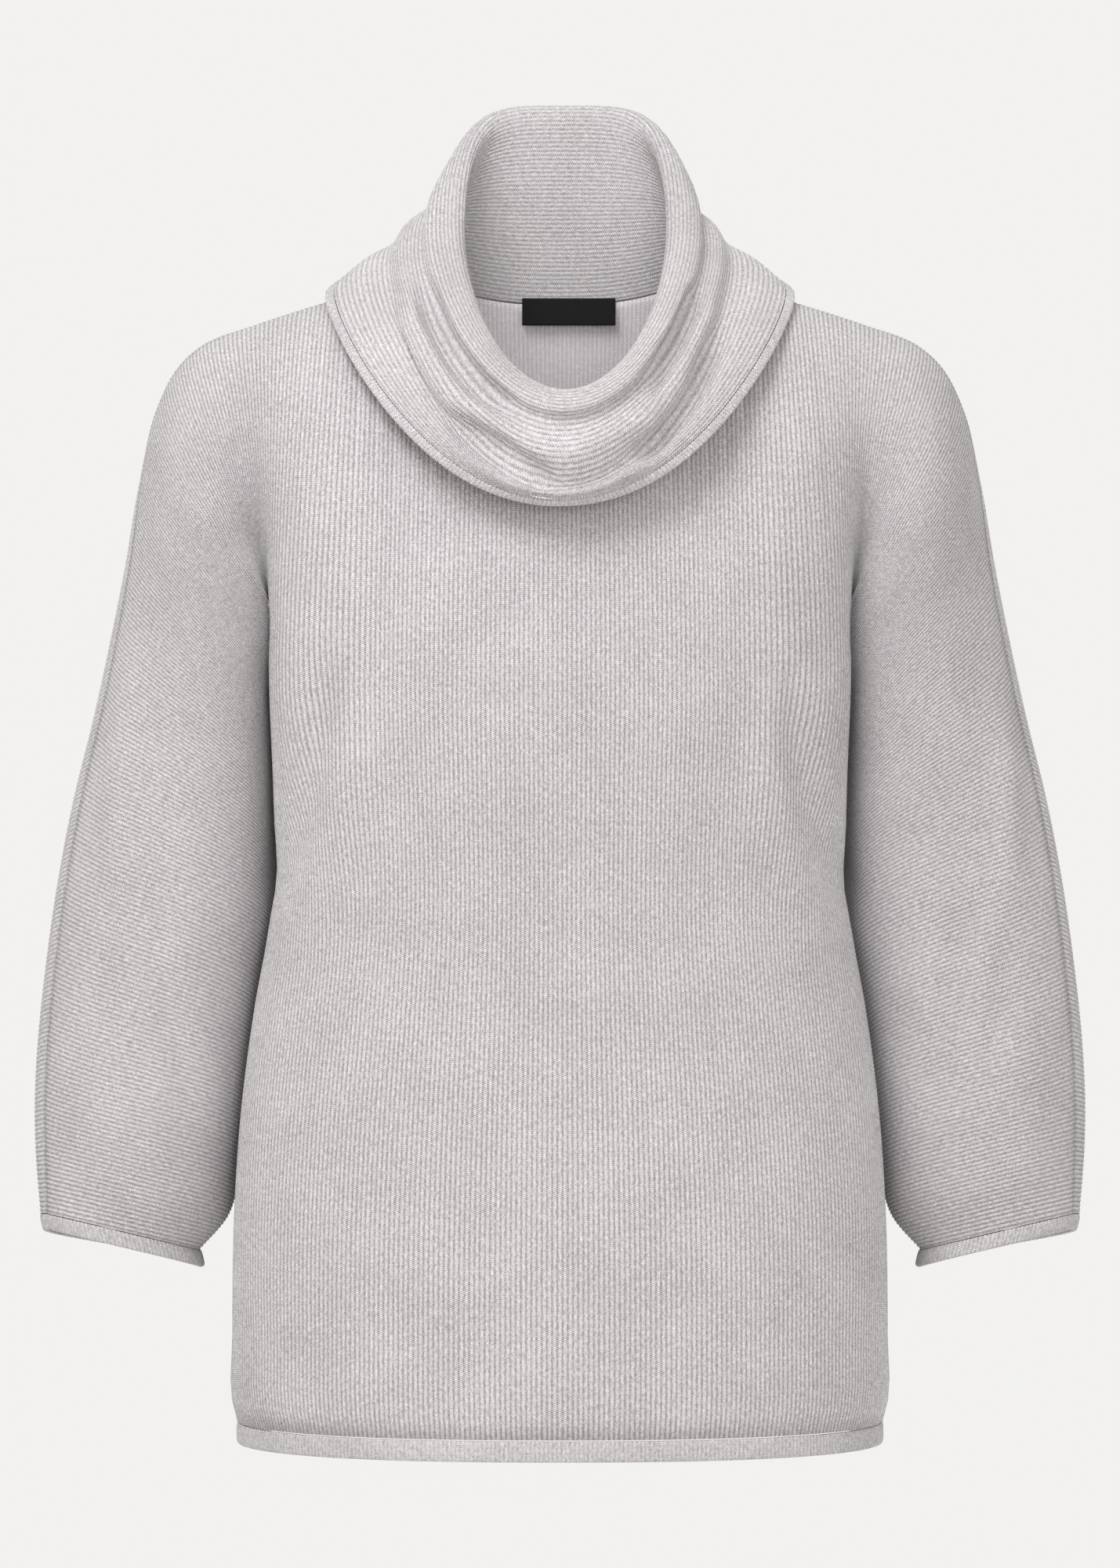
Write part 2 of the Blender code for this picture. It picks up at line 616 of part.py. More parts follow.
def neck_label(nets, finish):
    """Label on the inner side of the back neck, over the neck seam."""
    points, faces, free, index, normals = nets["back"]
    across = np.linspace(LABEL_X - LABEL_WIDE / 2, LABEL_X + LABEL_WIDE / 2, LABEL_POINTS)
    levels = (LABEL_TOP, 0.0, LABEL_LOW)
    face_y = []
    for level in levels:
        row = []
        for x in across:
            angle = math.pi - math.asin((abs(x) / NECK_HALF) ** (1 / COWL_SQUARE))
            row.append(loop_point(NECKLINE, angle)[1] - PANEL_WALL - LABEL_CLEAR)
        face_y.append(row)
    net = [(x, face_y[j][i], level) for j, level in enumerate(levels) for i, x in enumerate(across)]
    net = np.array(net)
    count = len(across)
    faces = []
    for j in range(len(levels) - 1):
        for i in range(count - 1):
            a = j * count + i
            faces.append([a, a + count, a + count + 1, a + 1])
    inner = net - (0.0, LABEL_WALL, 0.0)
    wall("neck_label", net, inner, [face[::-1] for face in faces], finish)


def main():
    for item in list(bpy.data.objects):
        bpy.data.objects.remove(item, do_unlink=True)
    finishes = {name: knit_material(name) for name in FINISHES}
    nets = panels()
    for panel in ("front", "back"):
        points, faces, free, index, normals = nets[panel]
        inner = points - normals * PANEL_WALL
        outer = draw_back(points, faces, SEAM_BACK)
        wall(panel, outer, inner + (outer - points), faces, finishes["rib_knit"])
    hem_band(nets, finishes["band_knit"])
    cuff("cuff_left", nets, -1, finishes["band_knit"])
    cuff("cuff_right", nets, 1, finishes["band_knit"])
    cowl(nets, finishes["collar_knit"], finishes["band_knit"])
    neck_label(nets, finishes["label_black"])


main()
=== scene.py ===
import math

import bpy
import numpy as np
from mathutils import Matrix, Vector
from mathutils.bvhtree import BVHTree


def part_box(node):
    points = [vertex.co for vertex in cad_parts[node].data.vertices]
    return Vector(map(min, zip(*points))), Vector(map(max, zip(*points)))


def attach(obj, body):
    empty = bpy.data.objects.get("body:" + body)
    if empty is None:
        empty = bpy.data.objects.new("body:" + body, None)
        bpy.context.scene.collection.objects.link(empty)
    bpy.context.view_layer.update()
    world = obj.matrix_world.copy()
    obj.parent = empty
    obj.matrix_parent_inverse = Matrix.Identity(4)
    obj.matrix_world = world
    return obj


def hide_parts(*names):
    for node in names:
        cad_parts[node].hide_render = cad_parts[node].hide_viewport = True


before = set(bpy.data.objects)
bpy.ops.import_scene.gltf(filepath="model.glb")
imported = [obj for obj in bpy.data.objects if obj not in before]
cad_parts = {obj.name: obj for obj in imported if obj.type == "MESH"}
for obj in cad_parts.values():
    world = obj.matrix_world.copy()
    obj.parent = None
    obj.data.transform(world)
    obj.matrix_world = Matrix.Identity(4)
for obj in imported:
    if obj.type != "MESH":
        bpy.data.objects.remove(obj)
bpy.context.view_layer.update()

bl_info = {
    "name": "Cowl neck sweater",
    "version": (1, 0, 0),
    "blender": (4, 5, 0),
    "location": "View3D > Sidebar > Sweater",
    "description": "Knits a hollow cowl neck sweater with real ribs, bands, seams and label",
    "category": "Mesh",
}

HEM_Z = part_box("hem_band")[0][2]

# Walls and seams, in metres
PANEL_WALL = 0.0020
COWL_WALL = 0.0026
BAND_WALL = 0.0034
SEAM_GAP = 0.0004
EDGE_GAP = 0.0003

# Flat cut, by the distance from the centre line
NECK_HALF = 0.100
SIDE_HALF = 0.235
CUFF_HALF = 0.685

# Levels and band depths
ARMPIT_Z = -0.208
HEM_DEEP = 0.0115
CUFF_DEEP = 0.0095
EDGE_DEEP = 0.0055
RING_SAMPLES = 240

# Body rings: level, half width, front depth, back depth, tuck of the side seam
BODY_COLUMNS = ("z", "half", "front", "back", "tuck")
BODY = (
    (-0.167, 0.170, 0.117, 0.096, 0.017),
    (-0.220, 0.169, 0.124, 0.095, 0.018),
    (-0.285, 0.167, 0.120, 0.089, 0.018),
    (-0.344, 0.169, 0.114, 0.087, 0.018),
    (-0.400, 0.179, 0.114, 0.094, 0.019),
    (-0.450, 0.185, 0.120, 0.104, 0.018),
    (-0.510, 0.188, 0.127, 0.112, 0.014),
    (-0.580, 0.187, 0.131, 0.115, 0.006),
    (-0.620, 0.1850, 0.131, 0.115, 0.002),
    (-0.6415, 0.1770, 0.131, 0.114, 0.000),
)
ROUNDNESS = 2.35
SIDE_SLIP = 0.13
SLIP_FROM = 0.40
SLIP_LEVELS = (-0.350, -0.215)
SIDE_Y = 0.010
TUCK_WIDE = 0.030

# Overarm seam from the neck point to the cuff: flat distance, X, Y, Z
OVERARM_COLUMNS = ("flat", "x", "y", "z")
OVERARM = (
    (0.1000, 0.1000, 0.000, 0.0080),
    (0.1300, 0.1300, 0.000, -0.0010),
    (0.1675, 0.1695, 0.001, -0.0136),
    (0.2007, 0.2020, 0.002, -0.0262),
    (0.2185, 0.2145, 0.002, -0.0375),
    (0.2465, 0.2275, 0.002, -0.0628),
    (0.2834, 0.2355, 0.000, -0.0999),
    (0.3270, 0.2418, -0.002, -0.1448),
    (0.4106, 0.2578, -0.004, -0.2300),
    (0.4565, 0.2688, -0.005, -0.2772),
    (0.5376, 0.2825, -0.006, -0.3608),
    (0.6225, 0.2898, -0.006, -0.4488),
    (0.6850, 0.2887, -0.004, -0.5135),
)

# Underarm seam and the sleeve's bows: flat distance, level, distance from the body, bows, lean
UNDERARM_COLUMNS = ("flat", "z", "off", "front", "back", "lean")
UNDERARM = (
    (0.2350, -0.208, 0.000, 0.060, 0.058, 0.004),
    (0.2834, -0.232, 0.009, 0.056, 0.056, 0.014),
    (0.3270, -0.258, 0.010, 0.052, 0.053, 0.024),
    (0.4106, -0.310, 0.009, 0.047, 0.048, 0.032),
    (0.4565, -0.342, 0.008, 0.045, 0.046, 0.034),
    (0.5376, -0.412, 0.008, 0.042, 0.043, 0.036),
    (0.6225, -0.486, 0.008, 0.040, 0.041, 0.036),
    (0.6600, -0.517, 0.012, 0.035, 0.036, 0.032),
    (0.6850, -0.535, 0.0255, 0.028, 0.029, 0.024),
)
RIB_RISE = 0.050
NECK_DROP = 0.030
NECK_PUSH = 0.011
SHOULDER_DROP = 0.016
NECK_SOFT = 0.040
ARMPIT_SOFT = 0.035
CUFF_LEVEL = 0.60
CUFF_FADE = (0.600, 0.685)

# Flat distances over which one part of the surface passes into the next
SLEEVE_FADE = (0.170, 0.275)
SHOULDER_FADE = (0.050, 0.150)
SHOULDER_END = (0.160, 0.225)
ARMPIT_FROM = (0.150, 0.215)
ARMPIT_TO = (0.300, 0.400)

# Shares of a rib's upper part over which its ends turn soft, and how they do
TOP_FADE = (0.0, 0.35)
END_FADE = (0.45, 1.0)
SOFT_STEPS = 9
BOW_REACH = 0.75            # the bow of a curve as a share of its handles

# Loops of the collar from the neck seam, over the lip, to the free edge
COWL_COLUMNS = ("half", "front_y", "back_y", "front_z", "side_z", "back_z", "square")
COWL = (
    (0.0992, -0.0945, 0.0542, -0.0845, 0.0086, 0.0006, 0.78),
    (0.0970, -0.0950, 0.0538, -0.0795, 0.0120, 0.0060, 0.77),
    (0.0840, -0.0990, 0.0515, -0.0740, 0.0190, 0.0300, 0.68),
    (0.0680, -0.1050, 0.0480, -0.0690, 0.0270, 0.0760, 0.57),
    (0.0570, -0.1120, 0.0460, -0.0630, 0.0370, 0.1040, 0.48),
    (0.0600, -0.1190, 0.0500, -0.0580, 0.0450, 0.1125, 0.44),
    (0.0680, -0.1280, 0.0570, -0.0610, 0.0450, 0.1070, 0.46),
    (0.0765, -0.1350, 0.0620, -0.0690, 0.0400, 0.0820, 0.55),
    (0.0795, -0.1310, 0.0640, -0.0765, 0.0315, 0.0620, 0.64),
    (0.0900, -0.1400, 0.0720, -0.0930, 0.0280, 0.0400, 0.70),
    (0.0970, -0.1330, 0.0740, -0.1110, 0.0195, 0.0180, 0.75),
    (0.1115, -0.1370, 0.0810, -0.1160, 0.0150, -0.0040, 0.78),
    (0.1265, -0.1330, 0.0840, -0.1190, 0.0050, -0.0270, 0.78),
)
COWL_SQUARE = 0.78
COWL_SHIFT = 0.003
COWL_REST = 0.0050
COWL_SHIFT_ROWS = (1, 4, 6, 9)
COWL_LIP_ROW = 5
COWL_OUTER_ROW = 6
COWL_NEAR = 0.030
COWL_FACING = 0.7
NECKLINE = (NECK_HALF, -0.0950, 0.0550, -0.0850, 0.0080, 0.0000, COWL_SQUARE)

# Soft folds of the panels: panel, start X and Z, end X and Z, sideways bow, half width, depth
FOLD_COLUMNS = ("panel", "x0", "z0", "x1", "z1", "bow", "wide", "deep")
FOLDS = (
    ("front", -0.164, -0.352, -0.128, -0.190, 0.008, 0.010, -0.0050),
    ("front", -0.146, -0.380, -0.108, -0.235, 0.006, 0.015, 0.0035),
    ("front", 0.164, -0.354, 0.126, -0.200, -0.008, 0.010, -0.0050),
    ("front", 0.146, -0.382, 0.110, -0.230, -0.006, 0.015, 0.0035),
    ("front", -0.190, -0.118, -0.172, -0.205, 0.004, 0.016, -0.0030),
    ("front", 0.190, -0.121, 0.172, -0.208, -0.004, 0.016, -0.0030),
    ("front", -0.243, -0.130, -0.246, -0.370, 0.003, 0.008, 0.0045),
    ("front", 0.245, -0.140, 0.249, -0.360, -0.003, 0.008, 0.0045),
    ("front", -0.226, -0.330, -0.200, -0.480, 0.003, 0.010, -0.0045),
    ("front", -0.250, -0.350, -0.226, -0.455, 0.004, 0.010, -0.0030),
    ("front", 0.226, -0.325, 0.202, -0.470, -0.003, 0.010, -0.0045),
    ("front", 0.250, -0.345, 0.230, -0.450, -0.004, 0.010, -0.0030),
    ("back", -0.165, -0.330, -0.120, -0.190, 0.008, 0.014, -0.0070),
    ("back", 0.165, -0.340, 0.124, -0.200, -0.008, 0.014, -0.0065),
    ("back", -0.190, -0.110, -0.174, -0.205, 0.004, 0.018, -0.0035),
    ("back", 0.190, -0.114, 0.174, -0.200, -0.004, 0.018, -0.0035),
    ("back", -0.060, -0.300, -0.095, -0.400, 0.004, 0.016, -0.0045),
    ("back", 0.070, -0.290, 0.090, -0.410, -0.004, 0.016, -0.0045),
    ("back", -0.230, -0.300, -0.205, -0.460, 0.003, 0.011, -0.0040),
    ("back", 0.232, -0.290, 0.206, -0.450, -0.003, 0.011, -0.0040),
)
FOLD_HOLD = 0.16            # share of a rib over which a fold dies out toward its seam
FOLD_TAPER = 0.3
FOLD_HEM = 0.03

# Creases of the collar in front view: side, half width, depth (below 0 is a trough), points (X, Z)
CREASE_COLUMNS = ("side", "wide", "deep", "points")
CREASES = (
    ("front", 0.0070, -0.0080, ((-0.0780, 0.0135), (-0.0701, -0.0175), (-0.0574, -0.0415),
                                (-0.0420, -0.0590), (-0.0267, -0.0688), (-0.0190, -0.0726))),
    ("front", 0.0068, -0.0075, ((0.0765, 0.0096), (0.0702, -0.0175), (0.0621, -0.0355),
                                (0.0544, -0.0530), (0.0476, -0.0667))),
    ("front", 0.0064, -0.0070, ((-0.0600, -0.0680), (-0.0382, -0.0859), (-0.0228, -0.0978),
                                (0.0023, -0.1132))),
    ("front", 0.0064, -0.0070, ((0.0903, -0.0120), (0.0796, -0.0398), (0.0702, -0.0628),
                                (0.0604, -0.0765), (0.0506, -0.0880), (0.0314, -0.0965))),
    ("front", 0.0090, 0.0045, ((-0.0930, 0.0020), (-0.0800, -0.0350), (-0.0560, -0.0640),
                               (-0.0220, -0.0850))),
    ("front", 0.0070, 0.0040, ((0.0840, 0.0000), (0.0720, -0.0380), (0.0560, -0.0700),
                               (0.0280, -0.0860))),
    ("back", 0.0080, -0.0040, ((-0.0720, 0.0500), (-0.0400, 0.0300), (-0.0100, 0.0240))),
    ("back", 0.0080, -0.0040, ((0.0740, 0.0440), (0.0460, 0.0160), (0.0200, 0.0060))),
    ("back", 0.0100, 0.0030, ((-0.0600, 0.0350), (-0.0200, 0.0120), (0.0300, 0.0100))),
)
CREASE_ROWS = (5.6, 7.0, 11.0, 12.0)    # loops between which a crease grows and fades
CREASE_TAPER = 0.25
CREASE_TURN = (-0.030, 0.015)           # depths between which the front's creases give way to the back's

# Fine knit of the meshes
RIB_COLUMNS = 3             # points across a rib
YOKE_ROWS = 28
SKIRT_ROWS = 34
COWL_RIBS = 80
COWL_AROUND = 256
COWL_PROBES = 601           # points read along a loop before it is spaced evenly
COWL_TURN = 0.55            # stitches once round the collar, at their own length
COWL_RIB_SHARE = 0.65       # how far the shoulder, not the front, spaces the outer ribs
COWL_INSIDE_GLOW = 0.10          # how far the collar's inner face takes the inner side's painted light
# painted light: how much the dark and the light yarn are brightened on the inner side, as if lit through the
# knit
INSIDE_GLOW_DARK = 2.4
INSIDE_GLOW_LIGHT = 1.28
SEAM_DIP = 0.0009           # how far the cloth is drawn in at a seam
SEAM_SPREAD = 0.0035
SEAM_BACK = 0.0002          # how far a panel's rim stays back from its seam
COARSE_PITCH = 0.005        # plain nets that the collar rests on
COARSE_ROWS = (20, 20)

# Section of the tubular bands
BAND_AROUND = 14
BAND_TURN = 0.6
BAND_TIP = 0.5
BAND_CREST = 0.00018
BAND_FOLD = 0.7             # share of the wall that the band's fold takes up
# share of painted shade in the rib valleys of the bands
BAND_VALLEY_SHADE = 0.2
BAND_BUMP = 0.3

# Label inside the back neck
LABEL_X = 0.005
LABEL_WIDE = 0.053
LABEL_TOP = 0.0035
LABEL_LOW = -0.0120
LABEL_WALL = 0.0008
LABEL_CLEAR = 0.0004
LABEL_COLUMNS = 49
LABEL_ROWS = 15
LABEL_RIM = 0.0015          # width of the edge that lies down
LABEL_PUCKER = 0.00018
LABEL_PRESS = 0.0003

# Camera and stage
PHOTO_HIGH = 2001
METRES_A_PIXEL = 0.00044
CAMERA_AWAY = 4.0
CAMERA_Z = -0.2728
SENSOR = 36.0
FLOOR_Z = -1.45             # the floor that the wearer stands on
FLOOR_SIZE = 8.0
WORLD_COLOUR = (0.888, 0.880, 0.863)
LIGHT_COLUMNS = ("name", "place", "size", "power")
LIGHTS = (
    ("key", (-0.8, -1.6, 1.7), 1.2, 42.0),
    ("fill", (0.5, -3.6, 0.1), 1.0, 30.0),
)


class SweaterSizes(bpy.types.PropertyGroup):
    """Sizes of the knit that a user would change."""
    rib_pitch: bpy.props.FloatProperty(
        name="Rib pitch", description="From one rib to the next in the flat cut",
        default=0.0025, unit="LENGTH")
    rib_height: bpy.props.FloatProperty(
        name="Rib height", description="From the valley to the crest of a rib",
        default=0.00072, unit="LENGTH")
    stitch: bpy.props.FloatProperty(
        name="Stitch", description="Length of a stitch along a rib", default=0.0011, unit="LENGTH")
    band_rib: bpy.props.FloatProperty(
        name="Band rib", description="Pitch of the ribs across the bands", default=0.0024, unit="LENGTH")


class SweaterColours(bpy.types.PropertyGroup):
    """Colours of the yarns."""
    light_yarn: bpy.props.FloatVectorProperty(
        name="Light yarn", description="Paler fibres of the melange", subtype="COLOR", size=3,
        default=(0.780, 0.751, 0.762))
    dark_yarn: bpy.props.FloatVectorProperty(
        name="Dark yarn", description="Darker fibres of the melange", subtype="COLOR", size=3,
        default=(0.290, 0.271, 0.278))
    label: bpy.props.FloatVectorProperty(
        name="Label", description="Satin of the neck label", subtype="COLOR", size=3,
        default=(0.005, 0.0045, 0.005))
    floor: bpy.props.FloatVectorProperty(
        name="Floor", description="Plain floor and backdrop", subtype="COLOR", size=3,
        default=(0.88, 0.875, 0.86))


def column(table, names, name):
    """A table's column by its name."""
    return np.array([row[names.index(name)] for row in table])


def smooth(x, xs, ys):
    """Cubic curve through the points (xs, ys), read at x."""
    slope = np.gradient(ys, xs)
    k = np.clip(np.searchsorted(xs, x) - 1, 0, len(xs) - 2)
    h = xs[k + 1] - xs[k]
    t = np.clip((x - xs[k]) / h, 0.0, 1.0)
    a = (1 + 2 * t) * (1 - t) ** 2 * ys[k] + t * (1 - t) ** 2 * h * slope[k]
    b = t * t * (3 - 2 * t) * ys[k + 1] - t * t * (1 - t) * h * slope[k + 1]
    return a + b


def ease(low, high, x):
    """Soft step from 0 at low to 1 at high."""
    t = np.clip((np.asarray(x, dtype=float) - low) / (high - low), 0.0, 1.0)
    return t * t * (3 - 2 * t)


def body_size(name, z):
    """A named size of the body at the level z."""
    levels = column(BODY, BODY_COLUMNS, "z")[::-1]
    return smooth(z, levels, column(BODY, BODY_COLUMNS, name)[::-1])


def seam_size(table, names, name, flat):
    """A named size of a seam at the flat distance."""
    return smooth(flat, column(table, names, "flat"), column(table, names, name))


def body_ring(share, z, panel):
    """Points of a quarter ring at one level, share 0 at the centre and 1 at the side seam."""
    angle = np.linspace(0.0, math.pi / 2, RING_SAMPLES)
    power = 2 / ROUNDNESS
    depth = body_size("front", z) + SIDE_Y if panel == "front" else body_size("back", z) - SIDE_Y
    turn = -1 if panel == "front" else 1
    y = SIDE_Y + turn * depth * np.cos(angle).clip(0) ** power
    x = body_size("half", z) * np.sin(angle) ** power
    x = x - body_size("tuck", z) * np.exp(-((y - SIDE_Y) / TUCK_WIDE) ** 2)
    run = np.concatenate(([0.0], np.cumsum(np.hypot(np.diff(x), np.diff(y)))))
    run = run / run[-1]
    slip = SIDE_SLIP * ease(*SLIP_LEVELS, z)
    loose = np.clip((share - SLIP_FROM) / (1 - SLIP_FROM), 0.0, 1.0)
    share = share + slip * np.sin(math.pi * loose) ** 2
    out_x = np.interp(share, run, x)
    out_y = np.interp(share, run, y)
    return np.stack([out_x, out_y, np.full_like(out_x, z)], axis=-1)


def loop_points(row, angle):
    """Points of a neck loop: angle 0 at the front, a half turn at the back."""
    half, front_y, back_y, front_z, side_z, back_z, square = row
    along = np.cos(angle)
    across = np.sin(angle)
    power = np.where(along > 0, 1.0, square)
    x = half * np.sign(across) * np.abs(across) ** power
    y = np.where(along > 0, along * front_y, -along * back_y)
    mean = (front_z + back_z) / 2
    z = (mean + side_z) / 2 + along * (front_z - back_z) / 2
    z = z + np.cos(2 * angle) * (mean - side_z) / 2
    return np.stack([x, y, z], axis=-1)


def top_points(flat, panel):
    """Top ends of ribs, on the neckline or on the overarm seam, for signed flat distances."""
    away = np.abs(flat)
    share = np.clip(away / NECK_HALF, 0.0, 1.0)
    angle = np.arcsin(share) if panel == "front" else math.pi - np.arcsin(share ** (1 / COWL_SQUARE))
    neck = loop_points(NECKLINE, angle)
    seam = np.stack([seam_size(OVERARM, OVERARM_COLUMNS, name, away) for name in ("x", "y", "z")], axis=-1)
    points = np.where((away < NECK_HALF - 1e-9)[..., None], neck, seam)
    points[..., 0] = points[..., 0] * np.where(flat < 0, -1.0, 1.0)
    return points


def soft_tops(flat, panel):
    """Top ends averaged over their neighbours, so that the corner at the neck fades down the ribs."""
    spread = NECK_SOFT * (1 - ease(*SHOULDER_END, np.abs(flat)))
    steps = np.linspace(-1.0, 1.0, SOFT_STEPS)
    return np.mean([top_points(flat + spread * step, panel) for step in steps], axis=0)


def end_points(flat, panel):
    """Lower ends of the ribs' upper parts: at the armpit level, or on the underarm seam."""
    away = np.abs(flat)
    ring = body_ring(np.clip(away / SIDE_HALF, 0.0, 1.0), ARMPIT_Z, panel)
    z = seam_size(UNDERARM, UNDERARM_COLUMNS, "z", np.maximum(away, SIDE_HALF))
    off = seam_size(UNDERARM, UNDERARM_COLUMNS, "off", np.maximum(away, SIDE_HALF))
    side = body_size("half", z) - body_size("tuck", z)
    seam = np.stack([side + off, np.full_like(z, SIDE_Y), z], axis=-1)
    points = np.where((away <= SIDE_HALF + 1e-9)[..., None], ring, seam)
    points[..., 0] = points[..., 0] * np.where(flat < 0, -1.0, 1.0)
    return points


def soft_ends(flat, panel):
    """Lower ends averaged over their neighbours, so that the armpit's corner fades up the ribs."""
    spread = ARMPIT_SOFT * ease(*ARMPIT_FROM, np.abs(flat)) * (1 - ease(*ARMPIT_TO, np.abs(flat)))
    steps = np.linspace(-1.0, 1.0, SOFT_STEPS)
    return np.mean([end_points(flat + spread * step, panel) for step in steps], axis=0)


def yoke_points(flat, share, panel):
    """Grid of points: a row for each share of the ribs' upper parts, a column for each flat distance."""
    turn = -1 if panel == "front" else 1
    hand = np.where(flat < 0, -1.0, 1.0)
    away = np.maximum(np.abs(flat), SIDE_HALF)
    bow = seam_size(UNDERARM, UNDERARM_COLUMNS, panel, away) / BOW_REACH
    lean = seam_size(UNDERARM, UNDERARM_COLUMNS, "lean", away)
    sleeve = ease(*SLEEVE_FADE, np.abs(flat))
    shoulder = ease(*SHOULDER_FADE, np.abs(flat))
    zero = np.zeros_like(flat)
    neck_handle = np.stack([zero, zero + turn * NECK_PUSH, zero - NECK_DROP], axis=-1)
    seam_handle = np.stack([turn * lean * sleeve * hand, turn * bow, -SHOULDER_DROP * (1 - sleeve)], axis=-1)
    t = share[:, None, None]
    loose = ease(*END_FADE, t)
    end = (1 - loose) * soft_ends(flat, panel) + loose * end_points(flat, panel)
    fall = (top_points(flat, panel)[:, 2] - end_points(flat, panel)[:, 2]) / 3 * sleeve
    fall = fall * (1 - CUFF_LEVEL * ease(*CUFF_FADE, np.abs(flat)))
    seam_handle[:, 2] -= fall
    top_handle = (1 - shoulder)[:, None] * neck_handle + shoulder[:, None] * seam_handle
    end_handle = np.stack([zero, sleeve * turn * bow, (1 - sleeve) * RIB_RISE + fall], axis=-1)
    soft = ease(*TOP_FADE, t)
    top = (1 - soft) * top_points(flat, panel) + soft * soft_tops(flat, panel)
    points = (1 - t) ** 3 * top + 3 * t * (1 - t) ** 2 * (top + top_handle)
    return points + 3 * t * t * (1 - t) * (end + end_handle) + t ** 3 * end


def fold_height(panel, x, z):
    """Height of the soft folds at places in front view."""
    height = np.zeros_like(x)
    for row in FOLDS:
        fold = dict(zip(FOLD_COLUMNS, row))
        if fold["panel"] != panel:
            continue
        run = np.array([fold["x1"] - fold["x0"], fold["z1"] - fold["z0"]])
        length = np.hypot(*run)
        run = run / length
        dx = x - fold["x0"]
        dz = z - fold["z0"]
        place = (dx * run[0] + dz * run[1]) / length
        along = np.clip(place, 0.0, 1.0)
        side = dx * run[1] - dz * run[0] - fold["bow"] * np.sin(math.pi * along)
        taper = ease(0.0, FOLD_TAPER, along) * ease(0.0, FOLD_TAPER, 1 - along)
        height = height + fold["deep"] * np.exp(-(side / fold["wide"]) ** 2) * taper
    return height


def unit(vectors):
    """The vectors at length 1."""
    return vectors / np.linalg.norm(vectors, axis=-1, keepdims=True)


def shared_normals(nets):
    """Unit normals of nets of points and quads, where points at the same place share one."""
    points = np.vstack([net[0] for net in nets])
    start = 0
    total = np.zeros_like(points)
    for net_points, quads in nets:
        corners = net_points[quads]
        normal = np.cross(corners[:, 2] - corners[:, 0], corners[:, 3] - corners[:, 1])
        for k in range(4):
            np.add.at(total, quads[:, k] + start, normal)
        start += len(net_points)
    place, group = np.unique(np.round(points, 6) + 0.0, axis=0, return_inverse=True)
    group = group.ravel()
    merged = np.zeros((len(place), 3))
    np.add.at(merged, group, total)
    normals = unit(merged[group])
    parts = np.cumsum([len(net[0]) for net in nets])[:-1]
    return np.split(normals, parts)


class PanelNet:
    """Grid of one panel: the upper part over every rib, the lower part over the body's ribs."""

    def __init__(self, panel, pitch, per_rib, rows):
        self.panel = panel
        self.per_rib = per_rib
        ribs = int(round(CUFF_HALF / pitch)) * per_rib
        self.flat = np.linspace(-CUFF_HALF, CUFF_HALF, 2 * ribs + 1)
        self.yoke = rows[0]
        self.skirt = rows[1]
        side = int(round((CUFF_HALF - SIDE_HALF) / pitch)) * per_rib
        self.first = side
        self.last = 2 * ribs - side
        share = np.linspace(0.0, 1.0, self.yoke + 1)
        upper = yoke_points(self.flat, share, panel)
        body = self.flat[self.first:self.last + 1]
        low = HEM_Z + HEM_DEEP + SEAM_GAP
        levels = np.linspace(ARMPIT_Z, low, self.skirt + 1)[1:]
        hand = np.where(body < 0, -1.0, 1.0)[:, None] * (1.0, 0.0, 0.0) + (0.0, 1.0, 1.0)
        lower = np.array([body_ring(np.abs(body) / SIDE_HALF, z, panel) * hand for z in levels])
        self.points = np.vstack([upper.reshape(-1, 3), lower.reshape(-1, 3)])
        self.index = np.full((self.yoke + self.skirt + 1, len(self.flat)), -1)
        self.index[:self.yoke + 1] = np.arange(upper.shape[0] * upper.shape[1]).reshape(upper.shape[:2])
        count = upper.shape[0] * upper.shape[1]
        self.index[self.yoke + 1:, self.first:self.last + 1] = (
            count + np.arange(lower.shape[0] * lower.shape[1]).reshape(lower.shape[:2]))
        self.quads = self.quads_of(self.index)
        seam_side = 1 - ease(0.85, 1.0, np.abs(self.flat) / SIDE_HALF)
        on_body = np.abs(self.flat) <= SIDE_HALF + 1e-9
        low_end = np.maximum(ease(0.0, FOLD_HOLD, 1 - share)[:, None], np.where(on_body, seam_side, 0.0))
        free_upper = ease(0.0, FOLD_HOLD, share)[:, None] * low_end
        free_lower = ease(0.0, FOLD_HEM, levels - levels[-1])[:, None] * seam_side[self.first:self.last + 1]
        self.free = np.concatenate([free_upper.ravel(), free_lower.ravel()])

    def quads_of(self, index):
        a = index[:-1, :-1]
        b = index[1:, :-1]
        c = index[1:, 1:]
        d = index[:-1, 1:]
        quads = np.stack([a, b, c, d], axis=-1).reshape(-1, 4)
        quads = quads[(quads >= 0).all(axis=1)]
        return quads if self.panel == "front" else quads[:, ::-1]

    def seam_distance(self):
        """How far each point is from its nearest seam, along the rib or across it."""
        rows = self.index.shape[0]
        far = np.full(len(self.points), 1.0)
        grid = np.where(self.index[..., None] >= 0, self.points[self.index], np.nan)
        step = np.linalg.norm(np.diff(grid, axis=0), axis=-1)
        run = np.concatenate([np.zeros((1, grid.shape[1])), np.nancumsum(step, axis=0)])
        across = np.abs(np.abs(self.flat) - SIDE_HALF)
        for j in range(rows):
            here = self.index[j] >= 0
            top = np.where(np.abs(self.flat) >= NECK_HALF, run[j], 1.0)
            if j <= self.yoke:
                end = np.where(np.abs(self.flat) >= SIDE_HALF, run[self.yoke] - run[j], 1.0)
                value = np.minimum(top, end)
            else:
                value = across
            far[self.index[j][here]] = value[here]
        return far


